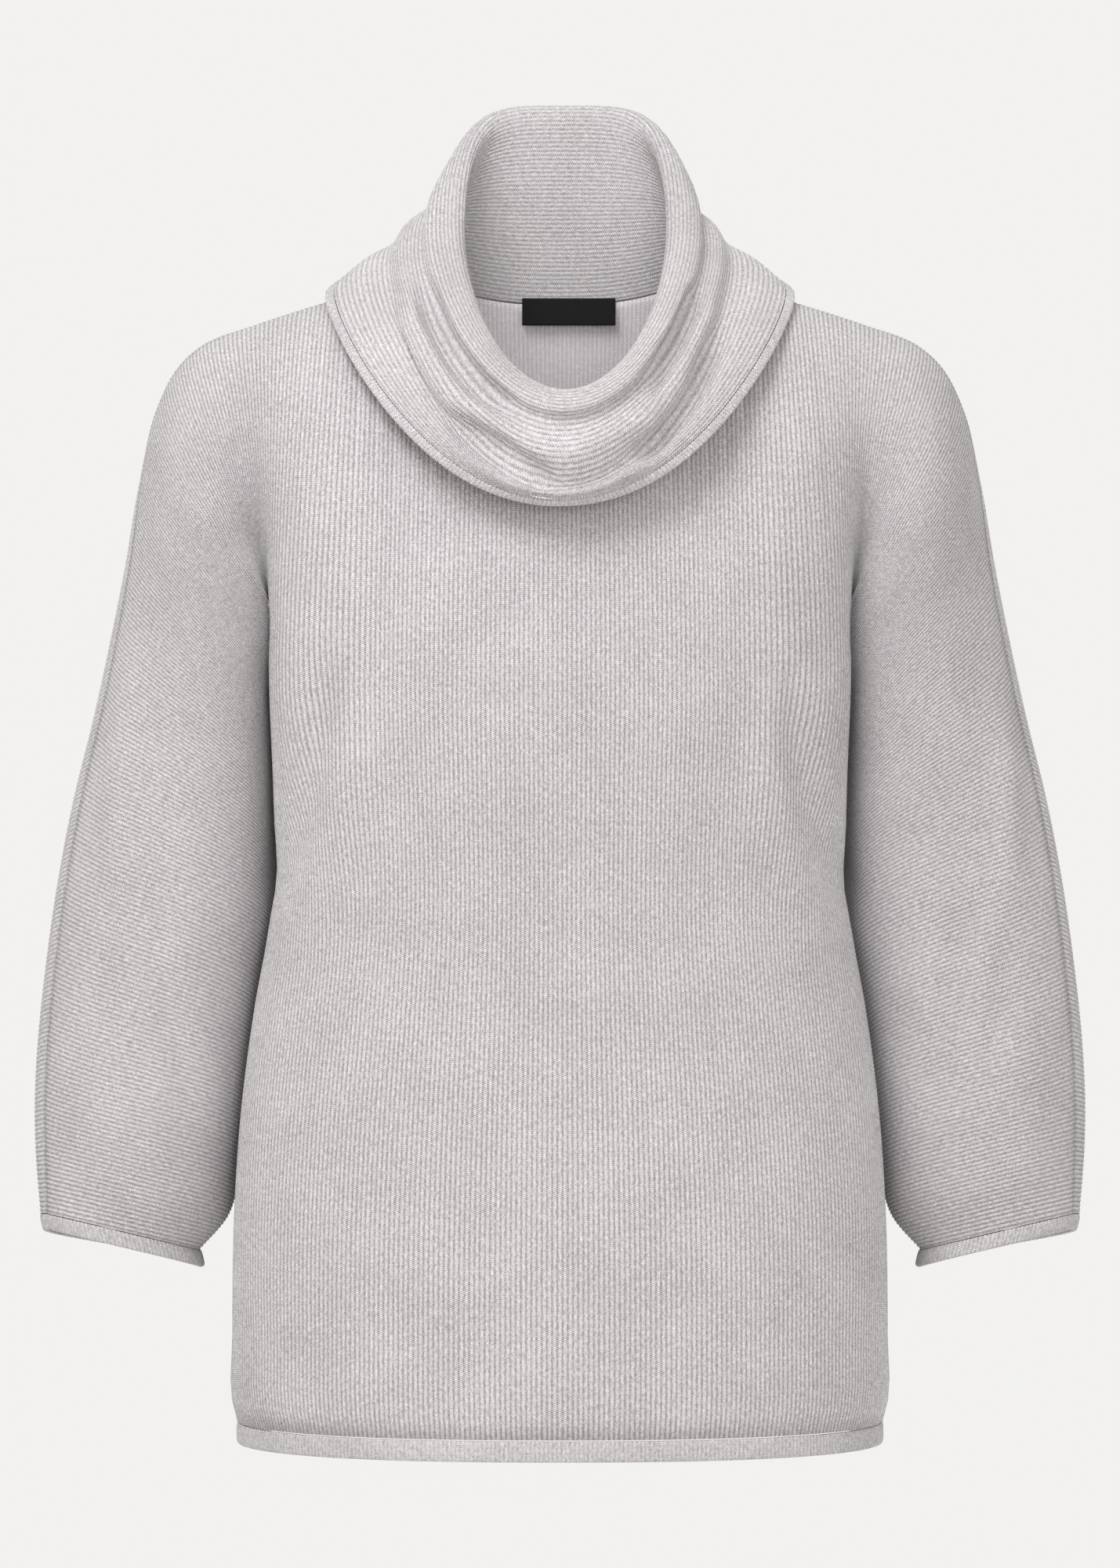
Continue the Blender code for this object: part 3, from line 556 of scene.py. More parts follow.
def panel_nets(pitch, per_rib, rows):
    """Both panels with their folds, and the normals that they share at the seams."""
    nets = [PanelNet(panel, pitch, per_rib, rows) for panel in ("front", "back")]
    normals = shared_normals([(net.points, net.quads) for net in nets])
    for net, normal in zip(nets, normals):
        height = fold_height(net.panel, net.points[:, 0], net.points[:, 2]) * net.free
        height = height - SEAM_DIP * np.exp(-(net.seam_distance() / SEAM_SPREAD) ** 2)
        net.points = net.points + normal * height[:, None]
    normals = shared_normals([(net.points, net.quads) for net in nets])
    for net, normal in zip(nets, normals):
        for i in (net.first, net.last):
            normal[net.index[net.yoke, i]] = (0.0, 0.0, -1.0)
        net.normals = normal
    return nets


class Socket:
    """A number in a material. Python's operators on it add Math nodes."""

    def __init__(self, graph, output):
        self.graph = graph
        self.output = output

    def maths(self, operation, *values):
        return self.graph.add("ShaderNodeMath", {"operation": operation}, *values)

    def __add__(self, other):
        return self.maths("ADD", self, other)

    def __sub__(self, other):
        return self.maths("SUBTRACT", self, other)

    def __mul__(self, other):
        return self.maths("MULTIPLY", self, other)

    def __truediv__(self, other):
        return self.maths("DIVIDE", self, other)

    def __pow__(self, other):
        return self.maths("POWER", self, other)

    def __rsub__(self, other):
        return self.maths("SUBTRACT", other, self)

    def __rtruediv__(self, other):
        return self.maths("DIVIDE", other, self)

    def __rpow__(self, other):
        return self.maths("POWER", other, self)

    __radd__ = __add__
    __rmul__ = __mul__

    def wave(self):
        """Cosine of whole turns, from 0 to 1."""
        return self.maths("COSINE", self * math.tau) * 0.5 + 0.5

    def fraction(self):
        return self.maths("FRACT", self)

    def size(self):
        return self.maths("ABSOLUTE", self)


class Graph:
    """A material whose nodes all come from one method."""

    def __init__(self, name):
        self.material = bpy.data.materials.new(name)
        self.material.use_nodes = True
        self.tree = self.material.node_tree
        self.shader = self.tree.nodes["Principled BSDF"]

    def add(self, kind, settings, *values, out=0, **named):
        node = self.tree.nodes.new(kind)
        for name, value in settings.items():
            setattr(node, name, value)
        for place, value in enumerate(values):
            self.feed(node.inputs[place], value)
        for place, value in named.items():
            self.feed(node.inputs[place.replace("_", " ")], value)
        return Socket(self, node.outputs[out])

    def feed(self, target, value):
        if isinstance(value, Socket):
            self.tree.links.new(value.output, target)
        elif value is not None:
            target.default_value = value

    def set(self, **named):
        for name, value in named.items():
            self.feed(self.shader.inputs[name.replace("_", " ")], value)

    def mix(self, share, first, second):
        """Colour between two colours, each a socket or three numbers."""
        colours = [c if isinstance(c, Socket) else (*c, 1.0) for c in (first, second)]
        settings = {"data_type": "RGBA", "blend_type": "MIX"}
        return self.add("ShaderNodeMix", settings, share, *[None] * 5, *colours, out=2)

    def cut_map(self):
        """The cut map: across the ribs, and along them."""
        place = self.add("ShaderNodeUVMap", {"uv_map": "cut"})
        across = self.add("ShaderNodeSeparateXYZ", {}, place)
        return across, Socket(self, across.output.node.outputs[1])

    def noise(self, place, scale, detail, rough=0.5):
        return self.add("ShaderNodeTexNoise", {"noise_dimensions": "3D"}, Vector=place, Scale=scale,
                        Detail=detail, Roughness=rough)

    def bump(self, height, strength, distance):
        return self.add("ShaderNodeBump", {}, Strength=strength, Distance=distance, Height=height)


def knit_material(name, light, dark, stitch, valley_shade=0.5, rib_bump=0.0):
    """Melange rib knit, with painted shade in the rib valleys. The cut map holds ribs across and metres
    along.
    """
    graph = Graph(name)
    across, along = graph.cut_map()
    rib = across.wave()
    lean = (across.fraction() - 0.5).size()
    chain = (along / stitch + lean * 1.6).wave()
    position = graph.add("ShaderNodeTexCoord", {}, out=3)
    strand = graph.add("ShaderNodeCombineXYZ", {}, across * 3.1, along * 330.0, 0.0)
    fibre = graph.noise(strand, 1.0, 3.0, 0.6)
    fleck = graph.noise(position, 700.0, 2.0, 0.6)
    cloud = graph.noise(position, 26.0, 3.0, 0.55)
    # Painted shade: each rib's valley is darkened in the colour, where shade would fall, by the given share;
    # the mean tone is lifted back by part of that share.
    valley = (1 - rib) ** 1.6
    tone = fibre * 1.1 + fleck * 1.1 + cloud * 0.3 - 0.78 + valley_shade * 0.3
    tone = tone - valley * valley_shade + (chain - 0.5) * 0.4
    tone = graph.add("ShaderNodeClamp", {}, tone)
    # Painted light: the inner side takes brightened copies of the yarns, as if lit through the knit.
    inside = graph.add("ShaderNodeAttribute", {"attribute_name": "inside"}, out=2)
    pale = graph.mix(tone, tuple(c * INSIDE_GLOW_DARK for c in dark), tuple(c * INSIDE_GLOW_LIGHT for c in light))
    colour = graph.mix(inside, graph.mix(tone, dark, light), pale)
    height = rib * rib_bump + chain * 0.6 + fibre * 0.5
    graph.set(Base_Color=colour, Roughness=0.93, Sheen_Weight=0.08, Sheen_Roughness=0.5,
              Specular_IOR_Level=0.2, Normal=graph.bump(height, 0.9, 0.0006))
    return graph.material


def label_material(colour):
    """Black satin weave with a fine twill."""
    graph = Graph("label_satin")
    across, along = graph.cut_map()
    twill = (across * 3200.0 + along * 1900.0).wave()
    thread = (along * 3600.0).wave()
    position = graph.add("ShaderNodeTexCoord", {}, out=3)
    dust = graph.noise(position, 420.0, 2.0)
    light = tuple(c * 2.4 + 0.006 for c in colour)
    graph.set(Base_Color=graph.mix(twill * 0.2 + dust * 0.3, colour, light), Roughness=dust * 0.25 + 0.5,
              Specular_IOR_Level=0.15, Normal=graph.bump(twill * 0.5 + thread * 0.5, 0.5, 0.0002))
    return graph.material


def stage_material(colour):
    """Matte of the floor."""
    graph = Graph("stage_matte")
    graph.set(Base_Color=(*colour, 1.0), Roughness=0.95, Specular_IOR_Level=0.1)
    return graph.material


def new_piece(name, points, faces, material, cut, turn=(0.0, 0.0)):
    """Mesh object at the origin, with its place in its mesh and its cut map.

    The turn is how much the map grows in a whole turn of a tube, in each direction.
    """
    mesh = bpy.data.meshes.new(name)
    mesh.from_pydata(points.tolist(), [], [list(map(int, face)) for face in faces])
    mesh.materials.append(material)
    mesh.shade_smooth()
    layer = mesh.uv_layers.new(name="cut")
    corners = np.empty(len(mesh.loops), dtype=np.int32)
    mesh.loops.foreach_get("vertex_index", corners)
    values = cut[corners]
    if np.any(turn):
        four = values.reshape(-1, 4, 2)
        turn = np.array(turn)
        low = four.min(axis=1, keepdims=True)
        wraps = (four.max(axis=1, keepdims=True) - low > turn / 2) & (turn > 0)
        four += np.where(wraps & (four - low < turn / 2), turn, 0.0)
    layer.data.foreach_set("uv", values.astype(np.float32).ravel())
    mesh.validate()
    mesh.update()
    item = bpy.data.objects.new(name, mesh)
    bpy.context.scene.collection.objects.link(item)
    return item


def mark_painted_glow(piece, shares):
    """Mark how far each point is on the inner side, where the material paints the colour paler to stand for
    the light through the knit.
    """
    layer = piece.data.attributes.new("inside", "FLOAT", "POINT")
    layer.data.foreach_set("value", shares.astype(np.float32))


def dress(piece, node):
    """The piece stands for its solid, whose part it hides, and rides on the one body."""
    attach(piece, "root")
    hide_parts(node)


def rim_of(quads):
    """Directed edges that only one face has."""
    edges = {(int(face[k]), int(face[(k + 1) % len(face)])) for face in quads for k in range(len(face))}
    return [edge for edge in edges if edge[::-1] not in edges]


def draw_back(net):
    """Steps that bring the rim of a panel back from its seams."""
    step = np.zeros_like(net.points)
    index = net.index
    for j in range(index.shape[0]):
        for i in range(index.shape[1]):
            here = index[j, i]
            if here < 0:
                continue
            up = j > 0
            down = j + 1 < index.shape[0] and index[j + 1, i] >= 0
            left = i > 0 and index[j, i - 1] >= 0
            right = i + 1 < index.shape[1] and index[j, i + 1] >= 0
            if up and down and left and right:
                continue
            toward = np.zeros(3)
            if not up:
                toward += unit(net.points[index[j + 1, i]] - net.points[here])
            if not down:
                toward += unit(net.points[index[j - 1, i]] - net.points[here])
            if not left and right:
                toward += unit(net.points[index[j, i + 1]] - net.points[here])
            if not right and left:
                toward += unit(net.points[index[j, i - 1]] - net.points[here])
            step[here] = toward * SEAM_BACK
    return step


def knit_panel(net, sizes, material):
    """Wall of one panel: real ribs on the outside, a plain inside with one column for each rib."""
    per_rib = net.per_rib
    phase = np.arange(len(net.flat)) % per_rib / per_rib
    crest = sizes.rib_height * (0.5 + 0.5 * np.cos(math.tau * phase))
    row, col = np.nonzero(net.index >= 0)
    rib_lift = np.zeros(len(net.points))
    rib_lift[net.index[row, col]] = crest[col]
    back = draw_back(net)
    outer = net.points + net.normals * (rib_lift - sizes.rib_height * 0.5)[:, None] + back
    grid = np.where(net.index[..., None] >= 0, net.points[net.index], np.nan)
    step = np.linalg.norm(np.diff(grid, axis=0), axis=-1)
    run = np.concatenate([np.zeros((1, grid.shape[1])), np.nancumsum(step, axis=0)])
    cut = np.zeros((len(net.points), 2))
    cut[net.index[row, col], 0] = net.flat[col] / sizes.rib_pitch
    cut[net.index[row, col], 1] = run[net.yoke, col] - run[row, col]
    sparse = net.index[:, ::per_rib]
    kept = sparse[sparse >= 0]
    number = np.full(len(net.points), -1)
    number[kept] = len(outer) + np.arange(len(kept))
    inner = net.points[kept] - net.normals[kept] * PANEL_WALL + back[kept]
    inner_index = np.where(sparse >= 0, number[sparse], -1)
    faces = [list(face) for face in net.quads]
    faces += [list(face)[::-1] for face in net.quads_of(inner_index)]
    faces += rim_faces(net, number)
    points = np.vstack([outer, inner])
    cuts = np.vstack([cut, cut[kept]])
    piece = new_piece(f"{net.panel}_rib_knit", points, faces, material, cuts)
    mark_painted_glow(piece, np.concatenate([np.zeros(len(outer)), np.ones(len(kept))]))
    return piece


def rim_faces(net, number):
    """Faces that close a panel's wall all round, from the fine outside to the sparse inside."""
    index = net.index
    per_rib = net.per_rib
    faces = []

    def close(outer_line):
        a = number[outer_line[0]]
        b = number[outer_line[-1]]
        face = [b, a] + [int(v) for v in outer_line]
        faces.append(face if net.panel == "front" else face[::-1])

    def close_row(j, start, stop, reverse):
        for i in range(start, stop, per_rib):
            line = [int(index[j, i + k]) for k in range(per_rib + 1)]
            close(line[::-1] if reverse else line)

    def close_column(i, start, stop, reverse):
        for j in range(start, stop):
            line = [int(index[j, i]), int(index[j + 1, i])]
            close(line[::-1] if reverse else line)

    last = index.shape[1] - 1
    yoke = net.yoke
    low = index.shape[0] - 1
    close_row(0, 0, last, False)
    close_row(yoke, 0, net.first, True)
    close_row(yoke, net.last, last, True)
    close_row(low, net.first, net.last, True)
    close_column(0, 0, yoke, True)
    close_column(last, 0, yoke, False)
    close_column(net.first, yoke, low, True)
    close_column(net.last, yoke, low, False)
    return faces


def knit_band(name, loop, outward, down, walls, sizes, material):
    """Tubular band round an edge, with ribs across it.

    The walls are the wall that it continues, the gap to it and the band's own depth.
    """
    above, gap, deep = walls
    length = np.linalg.norm(np.diff(np.vstack([loop, loop[:1]]), axis=0), axis=1).sum()
    ribs = int(round(length / sizes.band_rib))
    count = ribs * RIB_COLUMNS
    both = np.hstack([outward, down])
    loop_even, both_even, length = even_loop(loop, both, count)
    outward = unit(both_even[:, :3])
    down = unit(both_even[:, 3:])
    middle = loop_even - outward * above / 2
    turns = np.linspace(0.0, math.tau, BAND_AROUND, endpoint=False)
    side = np.cos(turns)
    share = 0.5 - 0.5 * np.sign(np.sin(turns)) * np.abs(np.sin(turns)) ** BAND_TURN
    side = np.sign(side) * np.abs(side) ** BAND_TIP * BAND_WALL / 2
    crest = BAND_CREST * np.cos(math.tau * (np.arange(count) % RIB_COLUMNS) / RIB_COLUMNS)
    thick = side[None, :] + crest[:, None] * np.sign(side)
    points = middle[:, None, :] + outward[:, None, :] * thick[..., None]
    points = points + down[:, None, :] * (gap + share[None, :, None] * deep)
    i = np.arange(count)[:, None]
    k = np.arange(BAND_AROUND)[None, :]
    n = (i + 1) % count
    m = (k + 1) % BAND_AROUND
    corners = [i * BAND_AROUND + k, n * BAND_AROUND + k, n * BAND_AROUND + m, i * BAND_AROUND + m]
    faces = np.stack(corners, axis=-1).reshape(-1, 4)
    if np.cross(loop_even[1] - loop_even[0], down[0]) @ outward[0] <= 0:
        faces = faces[:, ::-1]
    cut = np.stack(np.broadcast_arrays(i / RIB_COLUMNS + 0.0, share[None, :] * deep), axis=-1).reshape(-1, 2)
    return new_piece(name, points.reshape(-1, 3), faces, material, cut, (ribs, 0.0)), length


def even_loop(loop, values, count):
    """A closed loop and values along it, read at even steps."""
    closed = np.vstack([loop, loop[:1]])
    wide = np.vstack([values, values[:1]])
    run = np.concatenate([[0.0], np.cumsum(np.linalg.norm(np.diff(closed, axis=0), axis=1))])
    place = np.linspace(0.0, run[-1], count, endpoint=False)
    loop = np.stack([np.interp(place, run, closed[:, k]) for k in range(3)], axis=-1)
    wide = np.stack([np.interp(place, run, wide[:, k]) for k in range(wide.shape[1])], axis=-1)
    return loop, wide, run[-1]


def hem_loop(nets):
    """Lower edge of the body, front then back, with its outward directions."""
    front, back = nets
    low = front.index.shape[0] - 1
    ahead = front.index[low, front.first:front.last + 1]
    behind = back.index[low, front.first + 1:front.last][::-1]
    loop = np.vstack([front.points[ahead], back.points[behind]])
    outward = np.vstack([front.normals[ahead], back.normals[behind]]) * (1.0, 1.0, 0.0)
    return loop, unit(outward), np.tile((0.0, 0.0, -1.0), (len(loop), 1))


def cuff_loop(nets, hand):
    """End of one sleeve; hand is -1 for the left of the picture and 1 for its right."""
    front, back = nets
    i = 0 if hand < 0 else front.index.shape[1] - 1
    ahead = front.index[:front.yoke + 1, i]
    behind = back.index[1:front.yoke, i][::-1]
    loop = np.vstack([front.points[ahead], back.points[behind]])
    outward = np.vstack([front.normals[ahead], back.normals[behind]])
    chord = loop[front.yoke] - loop[0]
    fall = unit(np.array([-abs(chord[2]) * hand, 0.0, -abs(chord[0])]))
    outward = unit(outward - (outward @ fall)[:, None] * fall)
    return loop, outward, np.tile(fall, (len(loop), 1))


def lie_over(points, trees):
    """Lift points that would sink into the front or the back."""
    lifted = points.copy()
    for number, point in enumerate(points):
        place = Vector(point)
        for tree in trees:
            near, normal, face, distance = tree.find_nearest(place)
            height = (place - near).dot(normal)
            facing = abs(height) > COWL_FACING * distance
            if distance < COWL_NEAR and height < COWL_REST and facing:
                place = place + normal * (COWL_REST - height)
        lifted[number] = place
    return lifted


def cowl_loop(number, angles):
    """Points of the collar's loop of that number, which may lie between two rows of the table."""
    order = np.arange(len(COWL))
    sizes = [float(smooth(number, order, column(COWL, COWL_COLUMNS, name))) for name in COWL_COLUMNS]
    grow, full, still, last = COWL_SHIFT_ROWS
    shift = COWL_SHIFT * float(ease(grow, full, number)) * float(1 - ease(still, last, number))
    return loop_points(sizes, angles) + (shift, 0.0, 0.0)


def even_cowl_loop(number):
    """Points at even steps along a loop, from the back centre round to it again."""
    probe = math.pi + math.tau * ease(0.0, 1.0, np.linspace(0.0, 1.0, COWL_PROBES))
    loop = cowl_loop(number, probe)
    run = np.concatenate([[0.0], np.cumsum(np.linalg.norm(np.diff(loop, axis=0), axis=1))])
    angles = np.interp(np.linspace(0.0, run[-1], COWL_AROUND, endpoint=False), run, probe)
    return cowl_loop(number, angles)


def rib_numbers(count):
    """Loop numbers a rib's column apart: up the inside at the back, then down the outside."""
    probe = np.linspace(0.0, len(COWL) - 1, COWL_PROBES)
    line = np.array([cowl_loop(number, np.array([math.pi, math.pi / 2, 0.0])) for number in probe])
    step = np.linalg.norm(np.diff(line, axis=0), axis=-1)
    outside = COWL_RIB_SHARE * step[:, 1] + (1 - COWL_RIB_SHARE) * step[:, 2]
    step = np.where(probe[1:] <= COWL_LIP_ROW, step[:, 0], outside)
    run = np.concatenate([[0.0], np.cumsum(step)])
    return np.interp(np.linspace(0.0, run[-1], count + 1), run, probe)


def crease_height(side, x, z):
    """Height of the collar's creases at places in front view."""
    height = np.zeros_like(x)
    for row in CREASES:
        crease = dict(zip(CREASE_COLUMNS, row))
        if crease["side"] != side:
            continue
        line = np.array(crease["points"])
        run = np.concatenate([[0.0], np.cumsum(np.hypot(*np.diff(line, axis=0).T))])
        fine = np.linspace(0.0, run[-1], 60)
        line = np.stack([smooth(fine, run, line[:, 0]), smooth(fine, run, line[:, 1])], axis=-1)
        away = np.hypot(x[:, None] - line[:, 0], z[:, None] - line[:, 1])
        place = fine[away.argmin(axis=1)] / run[-1]
        taper = ease(0.0, CREASE_TAPER, place) * ease(0.0, CREASE_TAPER, 1 - place)
        height = height + crease["deep"] * np.exp(-(away.min(axis=1) / crease["wide"]) ** 2) * taper
    return height


def cowl_wall(sizes, trees, material):
    """Collar with its ribs round the neck, and the loop of its free edge."""
    count = COWL_RIBS * RIB_COLUMNS
    numbers = rib_numbers(count)
    grid = np.array([even_cowl_loop(number) for number in numbers])
    outer = numbers >= COWL_OUTER_ROW
    grid[outer] = lie_over(grid[outer].reshape(-1, 3), trees).reshape(-1, COWL_AROUND, 3)
    points = grid.reshape(-1, 3)
    i = np.arange(COWL_AROUND)[None, :]
    j = np.arange(count)[:, None]
    n = (i + 1) % COWL_AROUND
    quads = np.stack([j * COWL_AROUND + i, (j + 1) * COWL_AROUND + i,
                      (j + 1) * COWL_AROUND + n, j * COWL_AROUND + n], axis=-1).reshape(-1, 4)
    normals = shared_normals([(points, quads)])[0]
    grow, full, still, last = CREASE_ROWS
    loose = np.repeat(ease(grow, full, numbers) * (1 - ease(still, last, numbers)), COWL_AROUND)
    ahead = 1 - ease(*CREASE_TURN, points[:, 1])
    height = crease_height("front", points[:, 0], points[:, 2]) * ahead
    height = height + crease_height("back", points[:, 0], points[:, 2]) * (1 - ahead)
    points = points + normals * (height * loose)[:, None]
    normals = shared_normals([(points, quads)])[0]
    level = normals[:COWL_AROUND] * (1.0, 1.0, 0.0)
    normals[:COWL_AROUND] = unit(level)
    edge = points[-COWL_AROUND:]
    fall = unit(edge - points[-4 * COWL_AROUND:-3 * COWL_AROUND])
    reach = EDGE_GAP + EDGE_DEEP
    fall = unit(lie_over(edge + fall * reach, trees) - edge)
    outward = normals[-COWL_AROUND:]
    outward = unit(outward - (outward * fall).sum(axis=1)[:, None] * fall)
    normals[-COWL_AROUND:] = outward
    phase = np.arange(count + 1) % RIB_COLUMNS / RIB_COLUMNS
    crest = sizes.rib_height * (0.5 * np.cos(math.tau * phase))
    lift = np.repeat(crest, COWL_AROUND)
    face_points = points + normals * lift[:, None]
    sparse = np.arange(0, count + 1, RIB_COLUMNS)
    kept = (sparse[:, None] * COWL_AROUND + np.arange(COWL_AROUND)).ravel()
    hidden = points[kept] - normals[kept] * COWL_WALL
    start = len(points)
    j2 = np.arange(len(sparse) - 1)[:, None]
    inner = np.stack([start + j2 * COWL_AROUND + i, start + j2 * COWL_AROUND + n,
                      start + (j2 + 1) * COWL_AROUND + n, start + (j2 + 1) * COWL_AROUND + i],
                     axis=-1).reshape(-1, 4)
    i = np.arange(COWL_AROUND)
    n = (i + 1) % COWL_AROUND
    end = start + (len(sparse) - 1) * COWL_AROUND
    tail = count * COWL_AROUND
    first = np.stack([i, n, start + n, start + i], axis=-1)
    last = np.stack([tail + n, tail + i, end + i, end + n], axis=-1)
    faces = np.vstack([quads, inner, first, last])
    turn = round(COWL_TURN / sizes.stitch) * sizes.stitch
    metres = np.linspace(0.0, turn, COWL_AROUND, endpoint=False)
    ribs = np.arange(count + 1) / RIB_COLUMNS
    cut = np.stack(np.broadcast_arrays(ribs[:, None], metres[None, :]), axis=-1).reshape(-1, 2)
    cuts = np.vstack([cut, cut[kept]])
    piece = new_piece("cowl_rib_knit", np.vstack([face_points, hidden]), faces, material, cuts, (0.0, turn))
    # The collar's inner face near the neck takes a little of the inner side's painted light.
    inner_face = COWL_INSIDE_GLOW * (1 - ease(COWL_LIP_ROW - 2, COWL_LIP_ROW, numbers))
    mark_painted_glow(piece, np.concatenate([np.repeat(inner_face, COWL_AROUND), np.ones(len(kept))]))
    return piece, (edge, outward, fall)


class SWEATER_OT_panels(bpy.types.Operator):
    """Knit the front and the back, sleeves included, with their ribs"""
    bl_idname = "sweater.panels"
    bl_label = "Front and back"

    def execute(self, context):
        sizes = context.scene.sweater_sizes
        colours = context.scene.sweater_colours
        nets = panel_nets(sizes.rib_pitch, RIB_COLUMNS, (YOKE_ROWS, SKIRT_ROWS))
        light = tuple(colours.light_yarn)
        dark = tuple(colours.dark_yarn)
        material = knit_material("rib_knit", light, dark, sizes.stitch)
        for net in nets:
            piece = knit_panel(net, sizes, material)
            dress(piece, net.panel)
        return {"FINISHED"}


class SWEATER_OT_collar(bpy.types.Operator):
    """Knit the turned-down collar and its tubular edge"""
    bl_idname = "sweater.collar"
    bl_label = "Collar"

    def execute(self, context):
        sizes = context.scene.sweater_sizes
        colours = context.scene.sweater_colours
        nets = panel_nets(COARSE_PITCH, 1, COARSE_ROWS)
        trees = [BVHTree.FromPolygons(net.points.tolist(), net.quads.tolist()) for net in nets]
        light = tuple(colours.light_yarn)
        dark = tuple(colours.dark_yarn)
        # The collar's rib valleys take a little less painted shade than the panels.
        material = knit_material("collar_knit", light, dark, sizes.stitch, valley_shade=0.4)
        piece, edge = cowl_wall(sizes, trees, material)
        dress(piece, "cowl")
        trim = knit_material("edge_knit", light, dark, sizes.stitch, BAND_VALLEY_SHADE, BAND_BUMP)
        walls = (COWL_WALL, EDGE_GAP, EDGE_DEEP)
        band, length = knit_band("cowl_edge_knit", *edge, walls, sizes, trim)
        dress(band, "cowl_edge")
        area = length * (EDGE_DEEP + BAND_FOLD * BAND_WALL)
        return {"FINISHED"}


class SWEATER_OT_bands(bpy.types.Operator):
    """Knit the tubular bands of the hem and the cuffs"""
    bl_idname = "sweater.bands"
    bl_label = "Hem and cuffs"

    def execute(self, context):
        sizes = context.scene.sweater_sizes
        colours = context.scene.sweater_colours
        nets = panel_nets(sizes.rib_pitch, 1, (YOKE_ROWS, SKIRT_ROWS))
        light = tuple(colours.light_yarn)
        dark = tuple(colours.dark_yarn)
        material = knit_material("band_knit", light, dark, sizes.stitch, BAND_VALLEY_SHADE, BAND_BUMP)
        walls = (PANEL_WALL, SEAM_GAP, HEM_DEEP)
        band, length = knit_band("hem_band_knit", *hem_loop(nets), walls, sizes, material)
        dress(band, "hem_band")
        walls = (PANEL_WALL, SEAM_GAP, CUFF_DEEP)
        for hand, side in ((-1, "left"), (1, "right")):
            name = f"cuff_{side}"
            loop = cuff_loop(nets, hand)
            band, length = knit_band(f"{name}_knit", *loop, walls, sizes, material)
            dress(band, name)
        return {"FINISHED"}


class SWEATER_OT_label(bpy.types.Operator):
    """Lay the bare black label inside the back neck"""
    bl_idname = "sweater.label"
    bl_label = "Neck label"

    def execute(self, context):
        colours = context.scene.sweater_colours
        across = np.linspace(LABEL_X - LABEL_WIDE / 2, LABEL_X + LABEL_WIDE / 2, LABEL_COLUMNS)
        levels = np.linspace(LABEL_TOP, LABEL_LOW, LABEL_ROWS)
        angle = math.pi - np.arcsin((np.abs(across) / NECK_HALF) ** (1 / COWL_SQUARE))
        face_y = loop_points(NECKLINE, angle)[:, 1] - PANEL_WALL - LABEL_CLEAR
        x, z = np.meshgrid(across, levels)
        rim = np.minimum((x - across[0]) / LABEL_RIM, (across[-1] - x) / LABEL_RIM).clip(0, 1)
        pucker = LABEL_PUCKER * np.sin(x * 620.0) * (1 - rim * 0.6) - LABEL_PRESS * (1 - rim)
        y = np.tile(face_y, (len(levels), 1)) - 0.0001 + pucker.clip(-LABEL_PRESS, 0.0)
        front = np.stack([x, y - LABEL_WALL, z], axis=-1).reshape(-1, 3)
        back = np.stack([x, y, z], axis=-1).reshape(-1, 3)
        start = len(front)
        outer = []
        for j in range(LABEL_ROWS - 1):
            for i in range(LABEL_COLUMNS - 1):
                a = j * LABEL_COLUMNS + i
                outer.append([a, a + LABEL_COLUMNS, a + LABEL_COLUMNS + 1, a + 1])
        inner = [[v + start for v in face[::-1]] for face in outer]
        rims = [[b, a, a + start, b + start] for a, b in rim_of(outer)]
        cut = np.stack([x, z], axis=-1).reshape(-1, 2)
        cuts = np.vstack([cut, cut])
        points = np.vstack([front, back])
        material = label_material(tuple(colours.label))
        piece = new_piece("neck_label_cloth", points, outer + inner + rims, material, cuts)
        dress(piece, "neck_label")
        return {"FINISHED"}


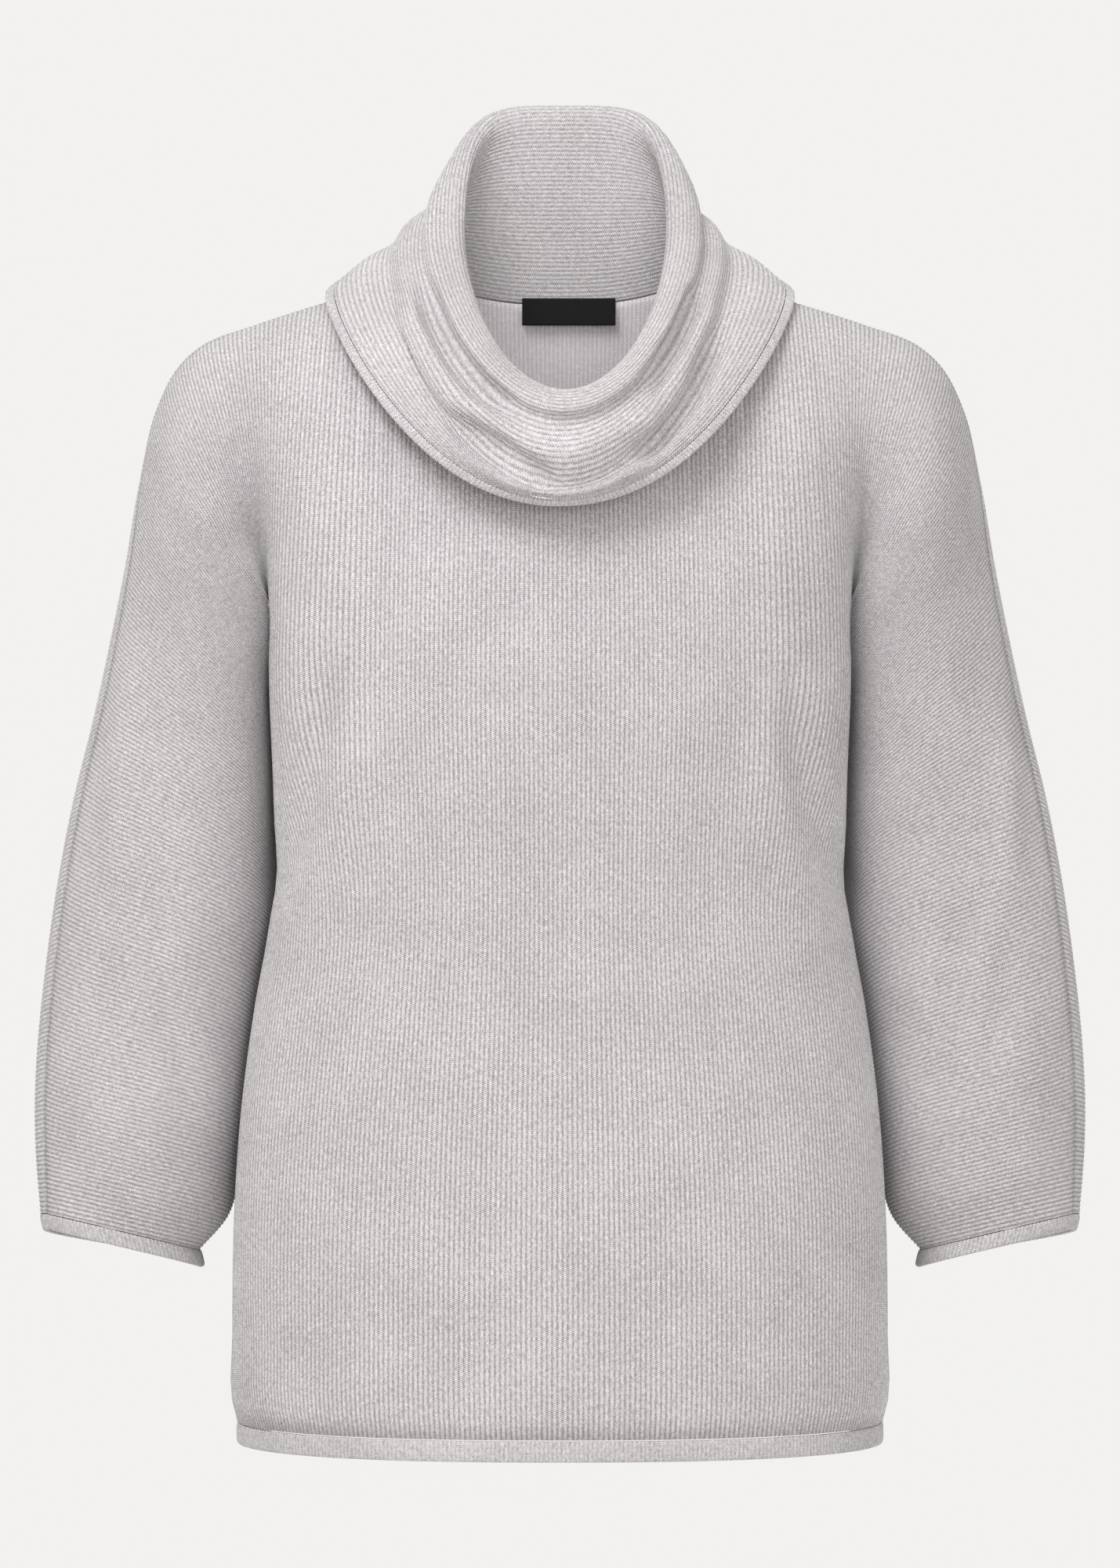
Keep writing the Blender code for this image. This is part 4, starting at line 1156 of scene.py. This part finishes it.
class SWEATER_OT_stage(bpy.types.Operator):
    """Set the pale floor, the soft studio light and the camera"""
    bl_idname = "sweater.stage"
    bl_label = "Stage"

    def execute(self, context):
        colours = context.scene.sweater_colours
        material = stage_material(tuple(colours.floor))
        bpy.ops.object.select_all(action="DESELECT")
        bpy.ops.mesh.primitive_plane_add(size=FLOOR_SIZE, location=(0.0, 0.0, FLOOR_Z))
        floor = context.object
        floor.name = "floor"
        floor.data.materials.append(material)
        for row in LIGHTS:
            self.light(**dict(zip(LIGHT_COLUMNS, row)))
        world = bpy.data.worlds.new("studio")
        world.use_nodes = True
        back = world.node_tree.nodes["Background"]
        back.inputs["Color"].default_value = (*WORLD_COLOUR, 1.0)
        context.scene.world = world
        context.scene.view_settings.view_transform = "Standard"
        data = bpy.data.cameras.new("camera")
        data.sensor_width = SENSOR
        data.lens = SENSOR * CAMERA_AWAY / (PHOTO_HIGH * METRES_A_PIXEL)
        camera = bpy.data.objects.new("camera", data)
        camera.location = (0.0, -CAMERA_AWAY, CAMERA_Z)
        camera.rotation_euler = (math.pi / 2, 0.0, 0.0)
        context.scene.collection.objects.link(camera)
        context.scene.camera = camera
        return {"FINISHED"}

    def light(self, name, place, size, power):
        data = bpy.data.lights.new(name, "AREA")
        data.shape = "SQUARE"
        data.size = size
        data.energy = power
        lamp = bpy.data.objects.new(name, data)
        lamp.location = place
        aim = Vector((0.0, 0.0, CAMERA_Z)) - Vector(place)
        lamp.rotation_euler = aim.to_track_quat("-Z", "Y").to_euler()
        bpy.context.scene.collection.objects.link(lamp)


class SWEATER_PT_pieces(bpy.types.Panel):
    """Lists the pieces and the sizes"""
    bl_idname = "SWEATER_PT_pieces"
    bl_label = "Cowl neck sweater"
    bl_space_type = "VIEW_3D"
    bl_region_type = "UI"
    bl_category = "Sweater"

    def draw(self, context):
        for group in (context.scene.sweater_sizes, context.scene.sweater_colours):
            for name in group.bl_rna.properties.keys():
                if name not in ("rna_type", "name"):
                    self.layout.prop(group, name)
        for operator in OPERATORS:
            self.layout.operator(operator.bl_idname)


OPERATORS = (SWEATER_OT_stage, SWEATER_OT_panels, SWEATER_OT_collar, SWEATER_OT_bands, SWEATER_OT_label)
CLASSES = (SweaterSizes, SweaterColours, *OPERATORS, SWEATER_PT_pieces)


def register():
    for item in CLASSES:
        bpy.utils.register_class(item)
    bpy.types.Scene.sweater_sizes = bpy.props.PointerProperty(type=SweaterSizes)
    bpy.types.Scene.sweater_colours = bpy.props.PointerProperty(type=SweaterColours)


def unregister():
    del bpy.types.Scene.sweater_colours
    del bpy.types.Scene.sweater_sizes
    for item in reversed(CLASSES):
        bpy.utils.unregister_class(item)


def main():
    register()
    bpy.ops.sweater.stage()
    bpy.ops.sweater.panels()
    bpy.ops.sweater.collar()
    bpy.ops.sweater.bands()
    bpy.ops.sweater.label()


if __name__ == "__main__":
    main()
